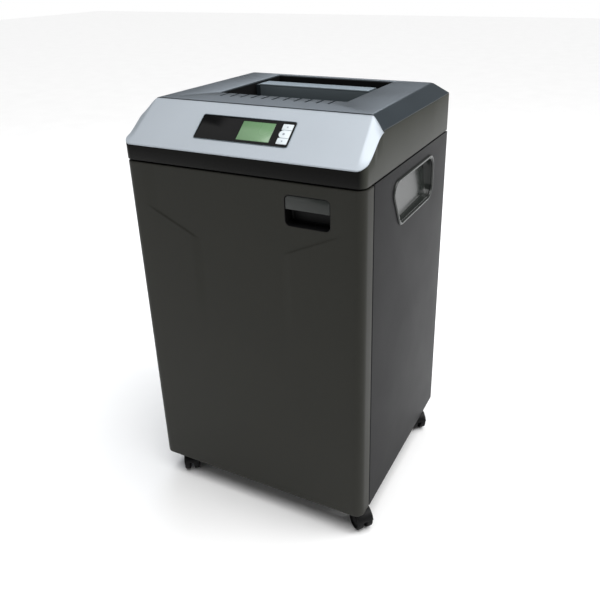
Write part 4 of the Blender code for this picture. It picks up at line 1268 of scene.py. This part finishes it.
# ---- rear fittings ----
@dataclass
class Rear:
    """Fittings on the back: pan-head screws round the panel and the inlet's pins."""

    screw_radius: float = 0.0034
    screw_height: float = 0.0016
    places: tuple[Point, ...] = ((-0.196, 0.060), (0.0, 0.060), (0.196, 0.060), (-0.196, 0.350),
                                 (0.196, 0.350), (-0.196, 0.625), (0.0, 0.625), (0.196, 0.625))
    sheet: float = 0.195
    pins: tuple[Point, ...] = ((-0.1470, 0.5795), (-0.1350, 0.5795), (-0.1410, 0.5845))

    def at_rear(self, grid: Array) -> Array:
        """Outline in (x, z), height out of the back."""
        return placed(grid, (0, self.sheet, 0), (1, 0, 0), (0, 0, 1), (0, 1, 0))

    def build(self) -> None:
        """A screw head is a dome profile turned about Y, with a cross cut in; a pin is an eased plate."""
        shape = Shape()
        dome = lathe([(-0.0012, 0.0), (-0.0012, 0.0016), (-0.0001, 0.0017), (-0.0001, self.screw_radius),
                      (0.0004, self.screw_radius), (0.0010, 0.0030), (self.screw_height - 0.0001, 0.0018),
                      (self.screw_height, 0.0)], 24)
        arm, reach = 0.0004, 0.0017
        cross = np.array([(-arm, -reach), (arm, -reach), (arm, -arm), (reach, -arm), (reach, arm), (arm, arm),
                          (arm, reach), (-arm, reach), (-arm, arm), (-reach, arm), (-reach, -arm),
                          (-arm, -arm)])
        cutter = Shape()
        for x, z in self.places:
            shape.grid(self.at_rear(dome + (x, z, 0)), around=True)
            slot = np.stack([np.column_stack((cross + (x, z), np.full(len(cross), h)))
                             for h in (0.0006, 0.004)])
            cutter.grid(self.at_rear(slot), around=True, caps=(True, True))
        screws = carved(shape.build("rear_panel_screws"), cutter.build("cross_cuts"))
        dressed(screws, Slot.ZINC_STEEL, "cabinet")
        pins = Shape()
        for x, z in self.pins:
            blade = box_corners(x - 0.0010, x + 0.0010, z - 0.0020, z + 0.0020)
            rings = stepped(blade, 0.0003, [(0.0, -0.0172), (0.0, -0.0040), (0.0004, -0.0030)], 3)
            pins.grid(self.at_rear(rings), around=True, caps=(True, True))
        dressed(pins.build("inlet_pins"), Slot.ZINC_STEEL, "cabinet")


# ---- studio ----
@dataclass
class Studio:
    """Camera, pale floor, soft lights and a pale surround."""

    eye: tuple[float, float, float] = (0.5378, -0.9779, 0.9183)
    yaw: float = 26.885
    pitch: float = 24.374
    roll: float = -1.117
    lens: float = 39.32
    shift: Point = (-0.0339, -0.0624)
    floor_reach: float = 12.0
    ambient: float = 0.12
    sun_strength: float = 3.0
    sun_angle: float = 60.0

    def camera(self) -> None:
        """Camera turned by yaw about Z, pitched down, and rolled about its own line of sight."""
        yaw, pitch, roll = (math.radians(a) for a in (self.yaw, self.pitch, self.roll))
        ahead = Vector((-math.sin(yaw) * math.cos(pitch), math.cos(yaw) * math.cos(pitch), -math.sin(pitch)))
        right = ahead.cross(Vector((0, 0, 1))).normalized()
        up = right.cross(ahead)
        turned_right = math.cos(roll) * right + math.sin(roll) * up
        turned_up = math.cos(roll) * up - math.sin(roll) * right
        data = bpy.data.cameras.new("studio_camera")
        data.lens = self.lens
        data.shift_x, data.shift_y = self.shift
        camera = bpy.data.objects.new("studio_camera", data)
        turn = Matrix((turned_right, turned_up, -ahead)).transposed().to_4x4()
        camera.matrix_world = Matrix.Translation(self.eye) @ turn
        bpy.context.scene.collection.objects.link(camera)
        bpy.context.scene.camera = camera

    def light(self, name: str, at: Sequence[float], towards: Sequence[float], size: Point, watts: float,
              color: tuple[float, float, float] = (1, 1, 1)) -> None:
        """A rectangular soft light aimed at a point.

        Args:
            name: the lamp's name.
            at: where it stands.
            towards: what it faces.
            size: its width and height.
            watts: its power.
            color: its colour.
        """
        data = bpy.data.lights.new(name, "AREA")
        data.shape = "RECTANGLE"
        data.size, data.size_y = size
        data.energy = watts
        data.color = color
        lamp = bpy.data.objects.new(name, data)
        lamp.location = at
        lamp.rotation_euler = (Vector(towards) - Vector(at)).to_track_quat("-Z", "Y").to_euler()
        bpy.context.scene.collection.objects.link(lamp)

    def floor(self) -> None:
        """Wide flat floor just under the tyres."""
        reach = self.floor_reach
        corners = np.array([[(-reach, -reach, -0.0002), (reach, -reach, -0.0002)],
                            [(-reach, reach, -0.0002), (reach, reach, -0.0002)]])
        floor = Shape().grid(corners).build("studio_floor", closed=False)
        floor.data.materials.append(FLOOR.material())

    def surround(self) -> None:
        """Even pale surround light."""
        world = bpy.data.worlds.new("studio_surround")
        world.use_nodes = True
        tree = world.node_tree
        tree.nodes["Background"].inputs["Color"].default_value = (1, 1, 1, 1)
        seen = tree.nodes.new("ShaderNodeLightPath")
        level = tree.nodes.new("ShaderNodeMapRange")
        level.inputs["To Min"].default_value = self.ambient
        level.inputs["To Max"].default_value = 1.0
        tree.links.new(seen.outputs["Is Camera Ray"], level.inputs["Value"])
        tree.links.new(level.outputs["Result"], tree.nodes["Background"].inputs["Strength"])
        bpy.context.scene.world = world

    def overhead(self) -> None:
        """Broad even light from above, which keeps the floor pale out to its edge."""
        data = bpy.data.lights.new("overhead", "SUN")
        data.energy = self.sun_strength
        data.angle = math.radians(self.sun_angle)
        lamp = bpy.data.objects.new("overhead", data)
        lamp.rotation_euler = Vector((-0.22, 0.05, -1)).to_track_quat("-Z", "Y").to_euler()
        bpy.context.scene.collection.objects.link(lamp)

    def build(self) -> None:
        """Sets the whole studio up."""
        self.camera()
        self.floor()
        self.surround()
        self.overhead()
        self.light("side_softbox", (2.2, 0.6, 1.75), (0, 0, 0.5), (1.4, 1.2), 31)
        self.light("rear_softbox", (-1.1, 1.9, 2.0), (0, 0, 0.7), (1.8, 1.0), 15.5, (0.80, 0.89, 1.0))
        self.light("top_softbox", (-0.9, -0.7, 2.5), (0, -0.1, 0.7), (1.5, 1.5), 7)
        self.light("front_fill", (-1.4, -2.2, 1.0), (0, 0, 0.3), (1.4, 1.4), 4)
        bpy.context.scene.view_settings.view_transform = "Standard"


def repaint_cad() -> None:
    """Gives every CAD node that stays in view its slot's finish."""
    finishes = {option.slot: option.value for option in Slot}
    for name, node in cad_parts.items():
        if node.hide_render:
            continue
        for place in node.material_slots:
            known = finishes.get(place.material.name.split(".")[0])
            if known:
                place.material = known.material()
        LOG.info("%s: repainted", name)


def main() -> None:
    """Builds each sub-assembly in order, then the studio."""
    logging.basicConfig(level=logging.INFO, format="%(name)s %(message)s")
    Door().build()
    Sides().build()
    Head().build()
    Panel().build()
    for corner, x, y, heading in (("front_right", 0.1816, -0.1525, -38.5),
                                  ("front_left", -0.1816, -0.1525, -54.3),
                                  ("rear_right", 0.1816, 0.1560, -47.0),
                                  ("rear_left", -0.1816, 0.1560, 218.5)):
        Caster(corner, corner.replace("_", " "), x, y, heading).build()
    Bin().build()
    Rear().build()
    repaint_cad()
    Studio().build()


if __name__ == "__main__":
    main()
